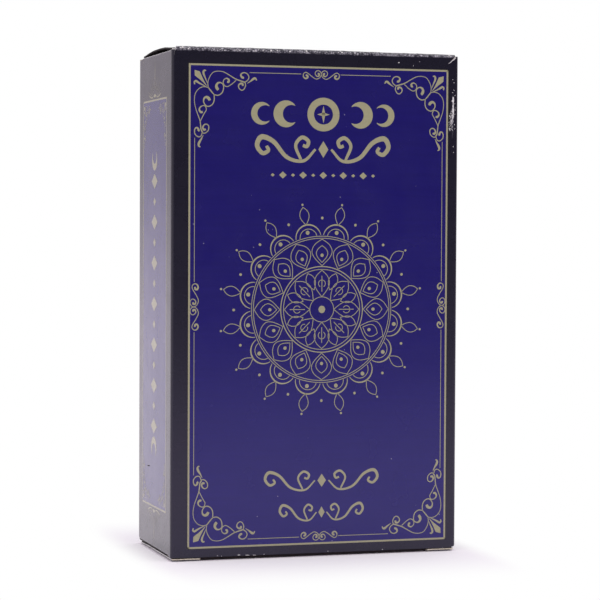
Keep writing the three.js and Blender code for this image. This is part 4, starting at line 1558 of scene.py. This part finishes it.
FOLD_NICKS_AND_GLINTS, STRIP_FLECKS = 14, 46
GLINT_NICK_ACROSS, GLINT_NICK_ALONG = (35.8, 0.18), (111.5, 4.5)
GLINT_NICK_LENGTH, GLINT_NICK_TILT, GLINT_NICK_HALF = 0.3, (40, 140), 0.06
STRIP_ACROSS, STRIP_ALONG = (34.5, 35.5), (104.2, 112.6, 108.0)
STRIP_LENGTH, STRIP_TILT, STRIP_HALF = (0.2, 0.4), (20, 160), (0.05, 0.09)
WEAR_KEEL, WEAR_LIFT = 0.05, 0.02


def fleck(u, v, length, angle, half):
    """A short ragged stroke."""
    c, s = math.cos(math.radians(angle)), math.sin(math.radians(angle))
    made = []
    for t in np.linspace(0, 1, 7):
        ragged = half * (0.25 + chance.random())
        made.append((u + length * t * c, v + length * t * s, ragged * (1 - abs(2 * t - 1) ** 3) + 0.015))
    return made


front_wear_and_glints = [CORNER_CRACK, RAGGED_STREAK]
front_wear_and_glints += [fleck(20.9, 122.6, 0.4, 30, 0.1), fleck(24.9, 121.9, 0.3, 70, 0.05)]
for u, span in BOTTOM_FLECKS:
    v = BOTTOM_BAND[0] + BOTTOM_BAND[1] * chance.random()
    front_wear_and_glints.append(fleck(u, v, BOTTOM_SPAN * span, chance.uniform(*BOTTOM_TILT), BOTTOM_HALF))
# Nicks near the right fold, partly cracks and partly painted glints
for _ in range(FOLD_NICKS_AND_GLINTS):
    glint_nick = (chance.gauss(*GLINT_NICK_ACROSS), chance.gauss(*GLINT_NICK_ALONG))
    front_wear_and_glints.append(fleck(*glint_nick, GLINT_NICK_LENGTH, chance.uniform(*GLINT_NICK_TILT), GLINT_NICK_HALF))
# Flecks in the crackle patch, partly cracks and partly painted glints
for _ in range(STRIP_FLECKS):
    spot = (chance.uniform(*STRIP_ACROSS), chance.triangular(*STRIP_ALONG))
    sizes = [chance.uniform(*span) for span in (STRIP_LENGTH, STRIP_TILT, STRIP_HALF)]
    front_wear_and_glints.append(fleck(*spot, *sizes))
ink_on("left_scuff", "left", [fleck(-7.4, 21.1, 3.2, 2, 0.13)], shade_and_scuff_board, WEAR_KEEL, WEAR_LIFT)
ink_on("front_wear_flecks", "front", front_wear_and_glints, core_white_and_glints, WEAR_KEEL, WEAR_LIFT)

# %% [markdown]
# ## Floor, light and camera
# The photograph is a studio picture on white: even light from all round, a white floor with a faint
# shadow, and the camera a little left of the front, low, with a long lens. The world gives one plain
# level of light for matt surfaces. Glossy rays see a softer room in front of the box, because the gloss
# of the front panel mirrors whatever stands there.

# %% A sheet of studio paper as the floor
FLOOR_Z, FLOOR_SIDE, FLOOR_FRONT, FLOOR_BACK = -0.00003, 0.6, -0.52, 0.9
PAPER_DARK, PAPER_LIGHT, PAPER_TOOTH = ink_colour(250, 240, 253), ink_colour(254, 245, 255), 900.0
floor_corners = [
    (-FLOOR_SIDE, FLOOR_FRONT, FLOOR_Z), (FLOOR_SIDE, FLOOR_FRONT, FLOOR_Z),
    (FLOOR_SIDE, FLOOR_BACK, FLOOR_Z), (-FLOOR_SIDE, FLOOR_BACK, FLOOR_Z),
]
floor_mesh = bpy.data.meshes.new("floor")
floor_mesh.from_pydata(floor_corners, [], [(0, 1, 2, 3)])
floor = bpy.data.objects.new("floor", floor_mesh)
bpy.context.scene.collection.objects.link(floor)
paper, paper_tree, paper_shader, paper_place = new_material("studio_paper")
tooth = noise_node(paper_tree, paper_place, PAPER_TOOTH, 3.0)
paper_tone = mix_colours(paper_tree, tooth, PAPER_DARK, PAPER_LIGHT)
paper_tree.links.new(paper_tone, paper_shader.inputs["Base Color"])
paper_shader.inputs["Roughness"].default_value = 0.9
paper_shader.inputs["Specular IOR Level"].default_value = 0.0
floor_mesh.materials.append(paper)
print("floor of", 2 * FLOOR_SIDE, "x", FLOOR_BACK - FLOOR_FRONT, "m, stage:", floor.name)

# %% Painted light on the paper: white for the camera away from the box and its shadow, a lilac glow in reflections
PAPER_LIFT, CONTACT, SHADE_REACH = 0.3, 0.0005, (0.0095, 0.045, 1.0)
HALF_FOOT = (HALF_WIDTH * MM, HALF_DEPTH * MM, 0)
GLOSS_SHARE, GLOSS_FRONT, GLOSS_BACK = 0.2, (1.35, 1.1, 2.5, 1), (1.4, 1.4, 1.42, 1)
GLOSS_TURN, WHITE = (-0.04, 0.0), (1, 1, 1, 1)


def vector_node(operation, vector, constant=(0, 0, 0)):
    """The outputs of a Vector Math node of the paper, of a linked vector and a constant one."""
    sockets = {0: vector, 1: constant}
    return add_node(paper_tree, "ShaderNodeVectorMath", sockets, operation=operation).outputs


def mix_shaders(tree, factor, first, second):
    """A Mix Shader node of two shaders."""
    return add_node(tree, "ShaderNodeMixShader", {0: factor, 1: first, 2: second}).outputs[0]


# Painted light: for the camera the paper glows white beyond a reach set for each side of the box, so its
# shadow shows only near it
past_foot = vector_node("SUBTRACT", vector_node("ABSOLUTE", paper_place)[0], HALF_FOOT)[0]
outside = vector_node("MAXIMUM", past_foot)[0]
away = vector_node("LENGTH", vector_node("DIVIDE", outside, SHADE_REACH)[0])["Value"]
clearing_sockets = {"Value": away, "To Min": PAPER_LIFT}
clearing = add_node(paper_tree, "ShaderNodeMapRange", clearing_sockets, interpolation_type="SMOOTHSTEP")
contact = ramp_between(paper_tree, vector_node("LENGTH", outside)["Value"], 0.0, CONTACT)
open_floor = math_node(paper_tree, "MULTIPLY", clearing.outputs["Result"], contact)
floor_ray = add_node(paper_tree, "ShaderNodeLightPath").outputs
for_camera = math_node(paper_tree, "MULTIPLY", floor_ray["Is Camera Ray"], open_floor)
# Painted reflection: glossy rays see the paper glow lilac, more strongly in front of the box
for_gloss = math_node(paper_tree, "MULTIPLY", floor_ray["Is Glossy Ray"], GLOSS_SHARE)
depth = add_node(paper_tree, "ShaderNodeSeparateXYZ", {0: paper_place}).outputs["Y"]
towards_back = ramp_between(paper_tree, depth, *GLOSS_TURN)
painted_reflection_glow = mix_colours(paper_tree, towards_back, GLOSS_FRONT, GLOSS_BACK)
paper_light = mix_colours(paper_tree, floor_ray["Is Glossy Ray"], WHITE, painted_reflection_glow)
lit_paper = add_node(paper_tree, "ShaderNodeEmission", {"Color": paper_light}).outputs[0]
lit_share = math_node(paper_tree, "ADD", for_camera, for_gloss)
shown_white = mix_shaders(paper_tree, lit_share, paper_shader.outputs[0], lit_paper)
paper_tree.links.new(shown_white, paper_tree.nodes["Material Output"].inputs["Surface"])
print("nodes of the paper:", len(paper_tree.nodes))

# %% World: plain light, a room for the gloss and white for the camera
PLAIN_LIGHT, CEILING = (1.0, 0.985, 1.0, 1), (1.0, 0.98, 1.0, 1)
BEHIND_LOW, BEHIND_HIGH = (1.11, 1.02, 1.13, 1), (0.585, 0.535, 0.595, 1)
BEFORE_LOW, BEFORE_HIGH = (0.06, 0.055, 0.065, 1), (0.03, 0.028, 0.033, 1)
FRONT_TURN, FRONT_RANGE, HORIZON, CEILING_RANGE = 0.45, (0.2, 0.8), (-0.05, 0.03), (0.3, 0.75)
world = bpy.data.worlds.new("studio")
bpy.context.scene.world = world
world.use_nodes = True
sky = world.node_tree
sky.nodes.clear()


def background(colour):
    """A Background shader of the world, with strength 1."""
    return add_node(sky, "ShaderNodeBackground", {"Color": colour, "Strength": 1.0}).outputs[0]


direction = add_node(sky, "ShaderNodeTexCoord").outputs["Generated"]
parts = add_node(sky, "ShaderNodeSeparateXYZ", {0: direction}).outputs
sideways = math_node(sky, "MULTIPLY", parts["X"], FRONT_TURN)
towards_front = math_node(sky, "MULTIPLY_ADD", parts["Y"], -1.0, sideways)
dim = ramp_between(sky, towards_front, *FRONT_RANGE)
rising = ramp_between(sky, parts["Z"], *HORIZON)
behind = mix_colours(sky, rising, BEHIND_LOW, BEHIND_HIGH)
before = mix_colours(sky, rising, BEFORE_LOW, BEFORE_HIGH)
walls = mix_colours(sky, dim, behind, before)
room = mix_colours(sky, ramp_between(sky, parts["Z"], *CEILING_RANGE), walls, CEILING)
rays = add_node(sky, "ShaderNodeLightPath").outputs
glossy = mix_shaders(sky, rays["Is Glossy Ray"], background(PLAIN_LIGHT), background(room))
seen = mix_shaders(sky, rays["Is Camera Ray"], glossy, background(WHITE))
add_node(sky, "ShaderNodeOutputWorld", {"Surface": seen})
print("nodes of the world:", len(sky.nodes))

# %% Soft lamp
LAMP_SIZE, LAMP_POWER = (1.1, 0.9), 1.3
LAMP_PLACE, LAMP_TARGET = (0.75, -0.55, 1.15), (0, 0, 0.06)
lamp = bpy.data.lights.new("soft_box", "AREA")
lamp.shape = "RECTANGLE"
lamp.size, lamp.size_y = LAMP_SIZE
lamp.energy = LAMP_POWER
lamp_object = bpy.data.objects.new("soft_box", lamp)
bpy.context.scene.collection.objects.link(lamp_object)


def aim(thing, place, target, roll=0.0):
    """Puts a lamp or a camera at a place, looking at a target, turned by a roll in degrees."""
    back = (Vector(place) - Vector(target)).normalized()
    right = Vector((0, 0, 1)).cross(back).normalized()
    up = back.cross(right)
    c, s = math.cos(math.radians(roll)), math.sin(math.radians(roll))
    across, upwards = right * c + up * s, up * c - right * s
    turn = [(across[i], upwards[i], back[i], place[i]) for i in range(3)]
    thing.matrix_world = Matrix(turn + [(0, 0, 0, 1)])


aim(lamp_object, LAMP_PLACE, LAMP_TARGET)
print("lamp of", LAMP_POWER, "W at", LAMP_PLACE)

# %% Camera
AZIMUTH, ELEVATION, DISTANCE, ROLL = -17.115, 1.874, 567.6, 0.276
TARGET = np.array((0.984, 0.0, 63.054))
LENS, SENSOR = 133.62, 36.0
az, el = math.radians(AZIMUTH), math.radians(ELEVATION)
backwards = np.array((math.sin(az) * math.cos(el), -math.cos(az) * math.cos(el), math.sin(el)))
camera_data = bpy.data.cameras.new("camera")
camera_data.lens, camera_data.sensor_width = LENS, SENSOR
camera_data.clip_start, camera_data.clip_end = 0.01, 50.0
camera = bpy.data.objects.new("camera", camera_data)
bpy.context.scene.collection.objects.link(camera)
aim(camera, tuple((TARGET + DISTANCE * backwards) * MM), tuple(TARGET * MM), ROLL)
bpy.context.scene.camera = camera
print("camera at", [round(v, 4) for v in camera.matrix_world.translation])

# %% Update the scene and finish


bpy.context.view_layer.update()
